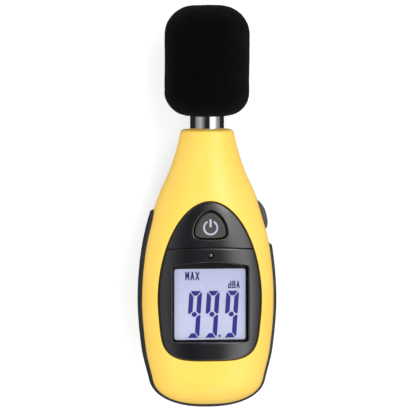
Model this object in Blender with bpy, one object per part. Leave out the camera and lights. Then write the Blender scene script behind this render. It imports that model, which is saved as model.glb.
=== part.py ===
"""A handheld sound level meter: a two-shell case with a microphone on its neck, a foam windscreen,
a display, a power key, a side key and a battery door at the back.

It lies on its back: +Z points out of the display, +Y points to the windscreen, and X runs across it.
Sizes are in millimetres. Y positions are measured from the foot end, and the METER empty moves that
end so that the middle of the whole length is at the world's origin.
"""

import math

import bmesh
import bpy
from mathutils import Matrix, Vector

MM = 0.001

# Case
FOOT = 1.3  # where the case starts; the grip band stands proud of it
CASE_LENGTH = 140.0
CASE_HALF_WIDTH = 33.9
FRONT_HEIGHT = 23.6  # above the plane between the two shells
REAR_DEPTH = 28.0  # below that plane, before the back is cut flat
MIDLINE_Z = 26.0  # that plane, which also holds the microphone's axis
# Shares of those four sizes along the case: length, half width, height, depth
CASE_SHAPE = (
    (0.0, 0.755, 0.85, 0.875),
    (0.097, 0.841, 0.924, 0.964),
    (0.204, 0.941, 0.975, 0.993),
    (0.382, 1.0, 1.0, 1.0),
    (0.561, 0.944, 0.97, 0.979),
    (0.703, 0.808, 0.856, 0.836),
    (0.775, 0.705, 0.767, 0.721),
    (0.846, 0.572, 0.669, 0.607),
    (0.917, 0.472, 0.602, 0.529),
    (1.0, 0.389, 0.559, 0.471),
)
FOOT_REACH_WIDE = 13.0  # how far the rounding of the foot reaches, seen from the front
FOOT_REACH_DEEP = 15.0  # the same, seen from the side
FRONT_POWER = 2.6  # squareness of a cross-section: 2 is an ellipse
REAR_POWER = 3.0
NECK_POWER = 2.0
NECK_SHARE = (0.6, 0.9)  # where the section turns from the body's to the neck's
FOOT_ANGLES = (10.0, 26.0, 42.0, 58.0, 74.0)  # rings round the foot's curve
BODY_RINGS = 15
COLUMNS = 32
WALL = 2.2
NECK_WEB = 3.6
GAP = 0.3  # between pieces that touch on the real meter
KEY_TRAVEL = 0.8
NECK_END = FOOT + CASE_LENGTH

# Microphone
TUBE_RADIUS = 8.6
TUBE_WALL = 1.3
TUBE_IN_NECK = 24.8
TUBE_REACH = 33.4  # past the neck's end
TUBE_THREAD = 4.0
THREAD_DEPTH = 0.7
FLANGE_IN_NECK = 20.8
FLANGE_LENGTH = 3.0
FLANGE_PROUD = 2.2
WEB_THICKNESS = 1.5
GRID_LENGTH = 7.1
GRID_PLATE = 0.9
GRID_HOLE_RADIUS = 0.9
GRID_HOLES = 8
GRID_HOLE_CIRCLE = 4.6
CAPSULE_RADIUS = 4.85
CAPSULE_LENGTH = 6.0
BOOT_LENGTH = 9.0
PREAMP_LENGTH = 14.0
PREAMP_WIDTH = 9.0
PREAMP_THICKNESS = 1.2
MIC_LEAD_RADIUS = 0.9
ROUND_SIDES = 24

# Windscreen
FOAM_OFF_NECK = 7.3
FOAM_LENGTH = 56.4
FOAM_RADIUS = 21.8
FOAM_TOP_ROUNDING = 15.0
FOAM_FOOT_ROUNDING = 12.5
FOAM_BORE_DEPTH = 32.0
FOAM_ARC_STEPS = 6

# Grip band round the sides and the foot
BAND_PROUD = 1.5
BAND_LET_IN = 1.0
BAND_HALF_HEIGHT = 6.0
BAND_TIP_HALF_HEIGHT = 1.6
BAND_TAPER = 11.0
BAND_LEFT_TIP = 101.5
BAND_RIGHT_TIP = 84.0
BAND_ARC_STEPS = 5

# Display bezel: an egg with a round top and a squarer foot
EGG_MIDDLE = 56.8
EGG_HALF_WIDTH = 26.1
EGG_TOP = 49.9
EGG_FOOT = 30.3
EGG_FOOT_POWER = 3.9
EGG_POINTS = 48
BEZEL_PROUD = 0.4
BEZEL_THICKNESS = 3.0
BEZEL_LEDGE = 1.8

# Window and display
WINDOW_MIDDLE = 55.0
WINDOW_HALF_WIDTH = 19.3
WINDOW_HALF_LENGTH = 19.3
WINDOW_ARCH = 2.0
WINDOW_CORNER = 1.6
ARCH_STEPS = 6
LENS_MARGIN = 1.0
LENS_BOTTOM = 44.2
LENS_THICKNESS = 1.5
WINDOW_SKIRT = 1.2
GLASS_INSET = 0.3
GLASS_THICKNESS = 2.8
LIGHT_THICKNESS = 2.8
ZEBRA_WIDTH = 2.0
ZEBRA_HALF_LENGTH = 17.0

# Circuit board
BOARD_BOTTOM = 33.0
BOARD_THICKNESS = 1.6
BOARD_HALF_WIDTH = 27.5
BOARD_EDGE_ROOM = 1.8  # from the case's inner wall, where that leaves less than the half width
BOARD_START = 31.5
BOARD_END = NECK_END - 33.3
BOARD_TIP_HALF_WIDTH = 12.0
BOARD_TIP_TAPER = 9.0
BOARD_STEPS = 8
MIC_HEADER_LENGTH = 6.0
MIC_HEADER_WIDTH = 7.0
MIC_HEADER_HEIGHT = 4.0
CAPACITOR_RADIUS = 2.5
CAPACITOR_LENGTH = 8.0
CAPACITOR_X = (-19.0, -12.0)
CAPACITOR_Y = 74.0
CHIP_BEVEL = 0.25
MIC_HEADER_START = BOARD_END - MIC_HEADER_LENGTH - 3.0
BOARD_SCREWS = ((25.0, 36.0), (22.8, 87.5))
BOARD_POST_RADIUS = 2.6
BOARD_SCREW_RADIUS = 0.9
BOARD_SCREW_HEAD = 2.0
BOARD_SCREW_REACH = 3.6
BOARD_TOP = BOARD_BOTTOM + BOARD_THICKNESS

# Power key, a triangle with round corners
POWER_KEY_Y = 94.6
POWER_KEY_CORNERS = ((-10.2, -6.3), (10.2, -6.3), (0.0, 12.0))
POWER_KEY_ROUNDING = (3.4, 3.4, 5.2)
POWER_KEY_PROUD = 1.0
KEY_CLEARANCE = 0.35
KEY_FLANGE = 1.1
SWITCH_HALF = 3.0
SWITCH_HEIGHT = 3.2
SWITCH_FLOOR = 0.4
PLUNGER_RADIUS = 1.6

# Side key, a lens-shaped bump
SIDE_KEY_Y = 97.5
SIDE_KEY_Z = 27.5
SIDE_KEY_HALF_LENGTH = 6.7
SIDE_KEY_HALF_HEIGHT = 4.0
SIDE_KEY_PROUD = 2.2
SIDE_KEY_ROUNDING = 3.6
SIDE_SWITCH_CLEARANCE = 1.2  # from the pressed key to the switch's face
SIDE_SWITCH_DEPTH = 5.0

# Light sensor under its light pipe
SENSOR_Y = 79.9
LIGHT_PIPE_RADIUS = 1.0
LIGHT_PIPE_SUNK = 0.5
SENSOR_RADIUS = 1.5
SENSOR_HEIGHT = 5.0

# Screws between the shells
FOOT_SCREW_Y = 24.0
FOOT_SCREW_FROM_DOOR = 6.8
NECK_SCREW = (14.0, NECK_END - 28.1)
REAR_POST_RADIUS = 4.2
FRONT_POST_RADIUS = 3.4
CASE_SCREW_RADIUS = 1.15
CASE_SCREW_HEAD = 2.5
CASE_SCREW_HEAD_HEIGHT = 1.9
CASE_SCREW_SEAT = 17.0
CASE_SCREW_LENGTH = 17.0
CROSS_LENGTH = 3.0
CROSS_WIDTH = 0.6
CROSS_DEPTH = 0.9
SCREW_CLEARANCE = 0.35
SCREW_SIDES = 12

# Battery and its bay
BATTERY_WIDTH = 26.5
BATTERY_LENGTH = 46.4
BATTERY_THICKNESS = 17.5
BATTERY_START = 14.0
BATTERY_BOTTOM = 6.2
BATTERY_SLACK = 0.75
TERMINAL_HEIGHT = 2.4
TERMINAL_OFFSET = 6.35
PLUS_RADIUS = 2.85
MINUS_RADIUS = 3.9
SNAP_THICKNESS = 4.5
SNAP_HALF_WIDTH = 12.0
SNAP_HALF_HEIGHT = 6.5
BAY_WALL = 1.5
BAY_FOOT_ROOM = 1.7
BAY_SNAP_ROOM = 2.9
BAY_ROOF_ROOM = 0.5
RAIL_THICKNESS = 1.5
LEAD_RADIUS = 0.65
LEAD_X = 3.0

# Battery door
DOOR_RAIL = 1.2  # how far the door reaches past the bay's wall
DOOR_END_HEIGHT = 14.0
DOOR_TONGUE_LENGTH = 2.0
DOOR_TONGUE_THICKNESS = 1.2
DOOR_TONGUE_HALF_WIDTH = 11.0
DOOR_TONGUE_ROOT = 3.0
DOOR_GROOVES = 6
DOOR_GROOVE_PITCH = 1.8
DOOR_GROOVE_DEPTH = 0.5
DOOR_GROOVE_START = 52.0
PAD_LENGTH = 30.0
PAD_HALF_WIDTH = 9.0

# Calibration trimmer, reached through a hole in the roof of the bay
TRIMMER = (9.0, 56.0)
TRIMMER_HALF = 3.2
TRIMMER_HEIGHT = 4.0
TRIMMER_ROTOR_RADIUS = 2.2
TRIMMER_ROTOR_HEIGHT = 1.0
TRIMMER_SLOT = 0.6
TRIMMER_HOLE_RADIUS = 2.4

# Sizes that follow
TUBE_START = NECK_END - TUBE_IN_NECK
TUBE_TIP = NECK_END + TUBE_REACH
TUBE_BORE = TUBE_RADIUS - TUBE_WALL
GRID_START = TUBE_TIP - TUBE_THREAD + GAP
GRID_TIP = GRID_START + GRID_LENGTH
FOAM_START = NECK_END + FOAM_OFF_NECK
OVERALL_LENGTH = FOAM_START + FOAM_LENGTH
FLANGE_START = NECK_END - FLANGE_IN_NECK
LENS_TOP = LENS_BOTTOM + LENS_THICKNESS
GLASS_BOTTOM = LENS_BOTTOM - GAP - GLASS_THICKNESS
LIGHT_BOTTOM = GLASS_BOTTOM - GAP - LIGHT_THICKNESS
BOARD_SEAT = BOARD_TOP + GAP
POWER_KEY_BOTTOM = BOARD_SEAT + SWITCH_HEIGHT + KEY_TRAVEL + GAP
BATTERY_END = BATTERY_START + BATTERY_LENGTH
SNAP_START = BATTERY_END + GAP
SNAP_END = SNAP_START + SNAP_THICKNESS
BATTERY_MIDDLE = BATTERY_BOTTOM + BATTERY_THICKNESS / 2
BAY_HALF = BATTERY_WIDTH / 2 + BATTERY_SLACK
BAY_START = BATTERY_START - BAY_FOOT_ROOM
BAY_END = SNAP_END + BAY_SNAP_ROOM
BAY_ROOF = BATTERY_BOTTOM + BATTERY_THICKNESS + BAY_ROOF_ROOM
DOOR_HALF_WIDTH = BAY_HALF + BAY_WALL + DOOR_RAIL
DOOR_END = BAY_END + BAY_WALL + GAP
CASE_SCREWS = ((DOOR_HALF_WIDTH + FOOT_SCREW_FROM_DOOR, FOOT_SCREW_Y), NECK_SCREW)
LEAD_Z = BATTERY_MIDDLE + 3.0


for stale in list(bpy.data.objects):
    bpy.data.objects.remove(stale)

METER = bpy.data.objects.new("meter", None)
METER.location = (0, -OVERALL_LENGTH / 2 * MM, 0)
bpy.context.scene.collection.objects.link(METER)


# ---------------------------------------------------------------- materials


def linear(code):
    """A hex colour as linear red, green and blue."""
    parts = [int(code[i : i + 2], 16) / 255 for i in (0, 2, 4)]
    return [c / 12.92 if c <= 0.04045 else ((c + 0.055) / 1.055) ** 2.4 for c in parts]


def material(name, code, roughness, metallic=0.0, transmission=0.0):
    made = bpy.data.materials.new(name)
    made.use_nodes = True
    shader = made.node_tree.nodes["Principled BSDF"]
    shader.inputs["Base Color"].default_value = (*linear(code), 1)
    shader.inputs["Roughness"].default_value = roughness
    shader.inputs["Metallic"].default_value = metallic
    shader.inputs["Transmission Weight"].default_value = transmission
    made.diffuse_color = (*linear(code), 1)
    return made


YELLOW = material("yellow_abs", "F8CF45", 0.42)
CHARCOAL = material("charcoal_abs", "3A3B40", 0.45)
KEY_GREY = material("key_rubber", "4B4644", 0.6)
GRIP_RUBBER = material("grip_rubber", "2B2C31", 0.65)
FOAM = material("windscreen_foam", "0B0B0D", 0.95)
CHROME = material("chrome", "D9DADC", 0.1, 1.0)
STEEL = material("steel", "9A9CA0", 0.35, 1.0)
BRASS = material("brass", "C9A654", 0.3, 1.0)
CLEAR = material("clear_acrylic", "F2F5F7", 0.05, 0.0, 0.9)
LCD_GLASS = material("lcd_glass", "C3C7E6", 0.2)
LIGHT_GUIDE = material("light_guide", "EAF0FF", 0.3)
WHITE_PLASTIC = material("white_plastic", "E2E2DC", 0.5)
BOARD_GREEN = material("board_green", "1F6B3A", 0.4)
CHIP_BLACK = material("chip_black", "1A1A1C", 0.5)
ZEBRA = material("zebra_rubber", "C7C3BE", 0.7)
AMBER = material("amber_lens", "6B3A22", 0.15)
CAN_BLUE = material("capacitor_sleeve", "20304E", 0.4)
TRIMMER_BLUE = material("trimmer_blue", "2C5FA8", 0.4)
BATTERY_COAT = material("battery_jacket", "44484F", 0.35, 0.5)
RED_WIRE = material("red_wire", "B3221E", 0.45)
BLACK_WIRE = material("black_wire", "151516", 0.45)
GREY_WIRE = material("grey_wire", "6E7074", 0.5)
PAD_FOAM = material("pad_foam", "55565A", 0.9)

# Parts on top of the board: name, two corners, height, look
TOP_PARTS = (
    ("controller_chip", (-6.0, 46.0), (6.0, 58.0), 1.4, CHIP_BLACK),
    ("amplifier_chip", (-15.0, 90.0), (-10.0, 94.0), 1.5, CHIP_BLACK),
    ("timing_crystal", (9.0, 82.0), (19.0, 85.5), 3.2, STEEL),
)


# ---------------------------------------------------------------- building


def link(name, data, look=None, helper=False):
    """An object under the meter's empty. A helper is a cutter or a guide, and isn't rendered."""
    made = bpy.data.objects.new(name, data)
    made.parent = METER
    bpy.context.scene.collection.objects.link(made)
    if look:
        data.materials.append(look)
    if helper:
        made.hide_render = True
        made.display_type = "WIRE"
    return made


def solid(name, bm, look=None, helper=False, origin=None):
    """A mesh object from bmesh geometry in millimetres. Its origin is its middle, unless one is given."""
    bmesh.ops.recalc_face_normals(bm, faces=bm.faces[:])
    bmesh.ops.scale(bm, vec=Vector((MM, MM, MM)), verts=bm.verts[:])
    mesh = bpy.data.meshes.new(name)
    corners = [v.co for v in bm.verts]
    low = Vector([min(c[k] for c in corners) for k in range(3)])
    high = Vector([max(c[k] for c in corners) for k in range(3)])
    at = (low + high) / 2 if origin is None else Vector(origin) * MM
    bmesh.ops.translate(bm, vec=-at, verts=bm.verts[:])
    bm.to_mesh(mesh)
    bm.free()
    mesh.shade_smooth()
    mesh.set_sharp_from_angle(angle=math.radians(35))
    made = link(name, mesh, look, helper)
    made.location = at
    return made


def boolean(target, other, operation):
    step = target.modifiers.new(operation.lower(), "BOOLEAN")
    step.operation = operation
    step.object = other
    step.solver = "EXACT"
    return target


def cut(target, *cutters):
    for cutter in cutters:
        boolean(target, cutter, "DIFFERENCE")
    return target


def join(target, *others):
    for other in others:
        boolean(target, other, "UNION")
    return target


def within(target, other):
    return boolean(target, other, "INTERSECT")


def add_box(bm, low, high, bevel=0.0):
    """A box between two corners, with its edges rounded if a bevel is given."""
    low, high = Vector(low), Vector(high)
    size = Matrix.Diagonal((*(high - low), 1))
    made = bmesh.ops.create_cube(bm, size=1, matrix=Matrix.Translation((low + high) / 2) @ size)
    if bevel:
        edges = list({e for v in made["verts"] for e in v.link_edges})
        bmesh.ops.bevel(
            bm, geom=edges, offset=bevel, affect="EDGES", segments=1, profile=0.5, material=-1
        )


def box(name, low, high, look=None, helper=False, bevel=0.0):
    bm = bmesh.new()
    add_box(bm, low, high, bevel)
    return solid(name, bm, look, helper)


def add_rod(bm, start, end, radius, sides=SCREW_SIDES, end_radius=None):
    """A round bar, or a cone, from one point to another."""
    start, end = Vector(start), Vector(end)
    turn = (end - start).to_track_quat("Z", "Y").to_matrix().to_4x4()
    bmesh.ops.create_cone(
        bm,
        cap_ends=True,
        segments=sides,
        radius1=radius,
        radius2=radius if end_radius is None else end_radius,
        depth=(end - start).length,
        matrix=Matrix.Translation((start + end) / 2) @ turn,
    )


def rod(name, start, end, radius, look=None, helper=False, sides=SCREW_SIDES):
    bm = bmesh.new()
    add_rod(bm, start, end, radius, sides)
    return solid(name, bm, look, helper)


def turned(name, profile, look=None, helper=False, sides=ROUND_SIDES):
    """A profile of (radius, distance from the foot) turned about the microphone's axis."""
    bm = bmesh.new()
    verts = [bm.verts.new((r, y, MIDLINE_Z)) for r, y in profile]
    closed = profile[0][0] > 0 and profile[-1][0] > 0
    ends = list(zip(verts, verts[1:])) + ([(verts[-1], verts[0])] if closed else [])
    edges = [bm.edges.new(pair) for pair in ends]
    bmesh.ops.spin(
        bm,
        geom=verts + edges,
        cent=(0, 0, MIDLINE_Z),
        axis=(0, 1, 0),
        angle=2 * math.pi,
        steps=sides,
        use_merge=True,
    )
    bmesh.ops.remove_doubles(bm, verts=bm.verts[:], dist=0.001)
    return solid(name, bm, look, helper)


def add_prism(bm, outline, low, high):
    """An outline of (x, y) points raised from one height to another."""
    base = bm.faces.new([bm.verts.new((x, y, low)) for x, y in outline])
    raised = bmesh.ops.extrude_face_region(bm, geom=[base])["geom"]
    top = [v for v in raised if isinstance(v, bmesh.types.BMVert)]
    bmesh.ops.translate(bm, vec=(0, 0, high - low), verts=top)


def prism(name, outline, low, high, look=None, helper=False):
    bm = bmesh.new()
    add_prism(bm, outline, low, high)
    return solid(name, bm, look, helper)


def grown(corners, by):
    """A convex outline, listed anticlockwise, with each side moved outwards."""
    moved = []
    for i, corner in enumerate(corners):
        here = Vector(corner)
        before = (here - Vector(corners[i - 1])).normalized()
        after = (Vector(corners[(i + 1) % len(corners)]) - here).normalized()
        out_before, out_after = Vector((before.y, -before.x)), Vector((after.y, -after.x))
        share = by / (1 + out_before.dot(out_after))
        moved.append(tuple(here + (out_before + out_after) * share))
    return moved


def rounded(corners, radii, steps=4):
    """An outline with an arc at each corner whose radius isn't 0."""
    points = []
    for i, corner in enumerate(corners):
        if not radii[i]:
            points.append(tuple(corner))
            continue
        here = Vector(corner)
        back = (Vector(corners[i - 1]) - here).normalized()
        on = (Vector(corners[(i + 1) % len(corners)]) - here).normalized()
        half = back.angle(on) / 2
        centre = here + (back + on).normalized() * radii[i] / math.sin(half)
        start = here + back * radii[i] / math.tan(half) - centre
        sweep = start.angle_signed(here + on * radii[i] / math.tan(half) - centre)
        for k in range(steps + 1):
            turn = Matrix.Rotation(-sweep * k / steps, 2)
            points.append(tuple(centre + turn @ start))
    return points


def wire(name, points, radius, look):
    """A lead: a round bar along a smooth curve through the points."""
    route = [Vector(p) for p in points]
    smooth = []
    for i in range(len(route) - 1):
        before, after = route[max(i - 1, 0)], route[min(i + 2, len(route) - 1)]
        leave, arrive = (route[i + 1] - before) / 2, (after - route[i]) / 2
        for k in range(4):
            t = k / 4
            smooth.append(hermite(route[i], route[i + 1], leave, arrive, t))
    smooth.append(route[-1])
    curve = bpy.data.curves.new(name, "CURVE")
    curve.dimensions = "3D"
    curve.bevel_depth = radius * MM
    curve.bevel_resolution = 2
    curve.use_fill_caps = True
    spline = curve.splines.new("POLY")
    spline.points.add(len(smooth) - 1)
    for point, place in zip(spline.points, smooth):
        point.co = (*(place * MM), 1)
    return link(name, curve, look)


def hermite(start, end, leave, arrive, t):
    """A point on the smooth curve between two ends with these directions."""
    return (
        start * (2 * t**3 - 3 * t**2 + 1)
        + leave * (t**3 - 2 * t**2 + t)
        + end * (3 * t**2 - 2 * t**3)
        + arrive * (t**3 - t**2)
    )


# ---------------------------------------------------------------- the case's form


def shape_share(column, y):
    """One of the case's shares at a distance from the foot, on a smooth curve through the rows."""
    rows = CASE_SHAPE
    share = min(max((y - FOOT) / CASE_LENGTH, 0), 1)
    i = max(k for k in range(len(rows) - 1) if rows[k][0] <= share)
    here, after = rows[i], rows[i + 1]
    span = after[0] - here[0]

    def slope(k):
        a, b = rows[max(k - 1, 0)], rows[min(k + 1, len(rows) - 1)]
        return (b[column] - a[column]) / (b[0] - a[0]) * span

    return hermite(here[column], after[column], slope(i), slope(i + 1), (share - here[0]) / span)


def foot_rounding(y, reach):
    t = min(max((y - FOOT) / reach, 0), 1)
    return math.sqrt(1 - (1 - t) ** 2)


def half_width(y):
    return CASE_HALF_WIDTH * shape_share(1, y) * foot_rounding(y, FOOT_REACH_WIDE)


def front_height(y):
    return FRONT_HEIGHT * shape_share(2, y) * foot_rounding(y, FOOT_REACH_DEEP)


def rear_depth(y):
    return REAR_DEPTH * shape_share(3, y) * foot_rounding(y, FOOT_REACH_DEEP)


def section_power(y, body_power):
    start, end = (FOOT + CASE_LENGTH * share for share in NECK_SHARE)
    t = min(max((y - start) / (end - start), 0), 1)
    return body_power + (NECK_POWER - body_power) * t * t * (3 - 2 * t)


def section_point(y, angle):
    """A point of the case's cross-section: angle 0 is at +X, and 90 degrees at the front."""
    c, s = math.cos(angle), math.sin(angle)
    reach, body_power = (front_height(y), FRONT_POWER) if s >= 0 else (rear_depth(y), REAR_POWER)
    power = 2 / section_power(y, body_power)
    x = half_width(y) * math.copysign(abs(c) ** power, c)
    z = MIDLINE_Z + reach * math.copysign(abs(s) ** power, s)
    return Vector((x, y, z))


def ring_places():
    """Distances from the foot of the rings that make the case's form."""
    places = [FOOT + FOOT_REACH_WIDE * (1 - math.cos(math.radians(a))) for a in FOOT_ANGLES]
    start = FOOT + FOOT_REACH_WIDE
    places += [start + (NECK_END - start) * k / BODY_RINGS for k in range(BODY_RINGS + 1)]
    return places


def case_form(offset=0.0, planes=()):
    """The case's closed form, swollen by an offset, with the outer side of each plane cut away.
    A plane is a point and the direction of the side that goes."""
    places = ring_places()
    bm = bmesh.new()
    bmesh.ops.create_grid(bm, x_segments=COLUMNS, y_segments=len(places) - 1, size=0.5)
    for v in bm.verts:
        ring = round((v.co.y + 0.5) * (len(places) - 1))
        v.co = section_point(places[ring], (v.co.x + 0.5) * 2 * math.pi)
    bmesh.ops.remove_doubles(bm, verts=bm.verts[:], dist=0.001)
    bmesh.ops.holes_fill(bm, edges=[e for e in bm.edges if e.is_boundary], sides=0)
    bmesh.ops.recalc_face_normals(bm, faces=bm.faces[:])
    bm.normal_update()
    moves = [(v, v.normal.copy()) for v in bm.verts]
    for v, normal in moves:
        v.co += normal * offset
    for point, direction in planes:
        geometry = bm.verts[:] + bm.edges[:] + bm.faces[:]
        bmesh.ops.bisect_plane(
            bm, geom=geometry, dist=1e-5, plane_co=point, plane_no=direction, clear_outer=True
        )
        bmesh.ops.holes_fill(bm, edges=[e for e in bm.edges if e.is_boundary], sides=0)
    return bm


def above(z):
    return ((0, 0, z), (0, 0, -1))


def below(z):
    return ((0, 0, z), (0, 0, 1))


def before(y):
    return ((0, y, 0), (0, 1, 0))


def between_x(half):
    return (((-half, 0, 0), (-1, 0, 0)), ((half, 0, 0), (1, 0, 0)))


def form(name, offset, *planes):
    """A helper of the case's form."""
    return solid(name, case_form(offset, planes), helper=True)


# ---------------------------------------------------------------- outlines


def egg(grow):
    """The bezel's outline, grown outwards."""
    points = []
    for k in range(EGG_POINTS):
        angle = 2 * math.pi * k / EGG_POINTS
        c, s = math.cos(angle), math.sin(angle)
        power = 1 if s >= 0 else 2 / EGG_FOOT_POWER
        x = (EGG_HALF_WIDTH + grow) * math.copysign(abs(c) ** power, c)
        reach = (EGG_TOP if s >= 0 else EGG_FOOT) + grow
        points.append((x, EGG_MIDDLE + reach * math.copysign(abs(s) ** power, s)))
    return points


def window(grow):
    """The opening over the display, a rectangle whose top edge is arched, grown outwards."""
    w, h = WINDOW_HALF_WIDTH + grow, WINDOW_HALF_LENGTH + grow
    low, high = WINDOW_MIDDLE - h, WINDOW_MIDDLE + h
    across = [1 - 2 * k / ARCH_STEPS for k in range(1, ARCH_STEPS)]
    arch = [(w * t, high + WINDOW_ARCH * (1 - t * t)) for t in across]
    corners = [(-w, low), (w, low), (w, high), *arch, (-w, high)]
    corner = WINDOW_CORNER + grow
    return rounded(corners, [corner] * 3 + [0] * len(arch) + [corner])


def power_key(grow):
    corners = [(x, y + POWER_KEY_Y) for x, y in grown(POWER_KEY_CORNERS, grow)]
    return rounded(corners, [r + grow for r in POWER_KEY_ROUNDING], 6)


def side_key_outline(grow):
    """Points (y, z) round the side key."""
    y, z = SIDE_KEY_HALF_LENGTH + grow, SIDE_KEY_HALF_HEIGHT + grow
    corners = [(-y, -z), (y, -z), (y, z), (-y, z)]
    points = rounded(corners, [SIDE_KEY_ROUNDING + grow] * 4)
    return [(SIDE_KEY_Y + a, SIDE_KEY_Z + b) for a, b in points]


def band_outline(tip, grow):
    """Points (y, z) round the grip band's strip on one side of the case."""
    upper = []
    for k in range(BAND_ARC_STEPS + 1):
        angle = math.pi / 2 * k / BAND_ARC_STEPS
        height = BAND_TIP_HALF_HEIGHT + (BAND_HALF_HEIGHT - BAND_TIP_HALF_HEIGHT) * math.cos(angle)
        upper.append((tip + grow - BAND_TAPER * (1 - math.sin(angle)), height + grow))
    lower = [(y, -height) for y, height in reversed(upper)]
    start = FOOT - WALL * 2
    outline = [(start, BAND_HALF_HEIGHT + grow), *upper, *lower, (start, -BAND_HALF_HEIGHT - grow)]
    return [(y, MIDLINE_Z + height) for y, height in outline]


def side_prism(name, outline, low, high):
    """A helper: an outline of (y, z) points drawn out along X."""
    bm = bmesh.new()
    base = bm.faces.new([bm.verts.new((low, y, z)) for y, z in outline])
    raised = bmesh.ops.extrude_face_region(bm, geom=[base])["geom"]
    far = [v for v in raised if isinstance(v, bmesh.types.BMVert)]
    bmesh.ops.translate(bm, vec=(high - low, 0, 0), verts=far)
    return solid(name, bm, helper=True)


# ---------------------------------------------------------------- shared helpers for the shells

FAR = 80.0  # further than any point of the case from its middle

NECK_INSIDE = before(NECK_END - NECK_WEB)
INNER_SKIN = form("guide_inner_skin", -WALL / 2)
BAND_TIPS = (BAND_LEFT_TIP, BAND_RIGHT_TIP)
BAND_SIDES = ((-FAR, GAP / 10), (0, FAR))


def band_strips(name, grow):
    left, right = (
        side_prism(f"{name}_{side}", band_outline(tip, grow), low, high)
        for side, tip, (low, high) in zip(("left", "right"), BAND_TIPS, BAND_SIDES)
    )
    return join(left, right)


GROOVE = cut(
    band_strips("cut_band_groove", GAP), form("guide_groove_floor", -BAND_LET_IN - GAP)
)
SIDE_KEY_HOLE = side_prism("cut_side_key", side_key_outline(KEY_CLEARANCE), 0, FAR)


def neck_webs(name, low, high):
    """Two webs across the neck that hold the tube's flange between them."""
    bm = bmesh.new()
    for start in (FLANGE_START - GAP - WEB_THICKNESS, FLANGE_START + FLANGE_LENGTH + GAP):
        add_box(bm, (-FAR, start, low), (FAR, start + WEB_THICKNESS, high))
    return solid(name, bm, helper=True)


TUBE_HOLE = rod(
    "cut_tube",
    (0, FLANGE_START - 4, MIDLINE_Z),
    (0, NECK_END + 1, MIDLINE_Z),
    TUBE_RADIUS + GAP,
    helper=True,
    sides=ROUND_SIDES,
)


def rods_at(name, places, low, high, radius):
    """A helper: upright bars at (x, y) places, each on both sides of the middle."""
    bm = bmesh.new()
    for x, y in places:
        for side in (-x, x):
            add_rod(bm, (side, y, low), (side, y, high), radius)
    return solid(name, bm, helper=True)


# ---------------------------------------------------------------- front case


def front_case():
    low = MIDLINE_Z + GAP / 2
    case = solid("front_case", case_form(0, (above(low),)), YELLOW)
    ledge = prism("guide_ledge", egg(BEZEL_LEDGE), BOARD_SEAT, FAR, helper=True)
    ledge_depth = BEZEL_THICKNESS - BEZEL_PROUD + GAP
    cut(ledge, form("guide_ledge_floor", -ledge_depth - BEZEL_LEDGE))
    cavity = cut(form("cut_front_cavity", -WALL, NECK_INSIDE), ledge)
    posts = rods_at("front_posts", CASE_SCREWS, low + GAP / 2, FAR, FRONT_POST_RADIUS)
    board_posts = rods_at("board_posts", BOARD_SCREWS, BOARD_SEAT, FAR, BOARD_POST_RADIUS)
    webs = neck_webs("front_webs", low + GAP / 2, FAR)
    for piece in (posts, board_posts, webs):
        within(piece, INNER_SKIN)
    pocket = prism("cut_bezel_pocket", egg(GAP), low + 1, FAR, helper=True)
    cut(pocket, form("guide_pocket_floor", -ledge_depth))
    opening = prism("cut_window_opening", window(WINDOW_SKIRT + GAP), low + 1, FAR, helper=True)
    key_hole = prism("cut_power_key", power_key(KEY_CLEARANCE), low + 1, FAR, helper=True)
    pipe = (0, SENSOR_Y)
    pipe_hole = rod("cut_light_pipe", (*pipe, low + 1), (*pipe, FAR), LIGHT_PIPE_RADIUS + GAP, helper=True)
    screw_top = CASE_SCREW_SEAT + CASE_SCREW_LENGTH + GAP
    screw_radius = CASE_SCREW_RADIUS + SCREW_CLEARANCE
    screws = rods_at("cut_case_screws", CASE_SCREWS, 0, screw_top, screw_radius)
    board_top = BOARD_SEAT + BOARD_SCREW_REACH + GAP
    board_hole = BOARD_SCREW_RADIUS + GAP
    board_screws = rods_at("cut_board_screws", BOARD_SCREWS, BOARD_BOTTOM, board_top, board_hole)
    cut(case, cavity)
    join(case, posts, board_posts, webs)
    cut(case, pocket, opening, key_hole, pipe_hole, screws, board_screws)
    cut(case, TUBE_HOLE, GROOVE, SIDE_KEY_HOLE)


# ---------------------------------------------------------------- rear case


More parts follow.
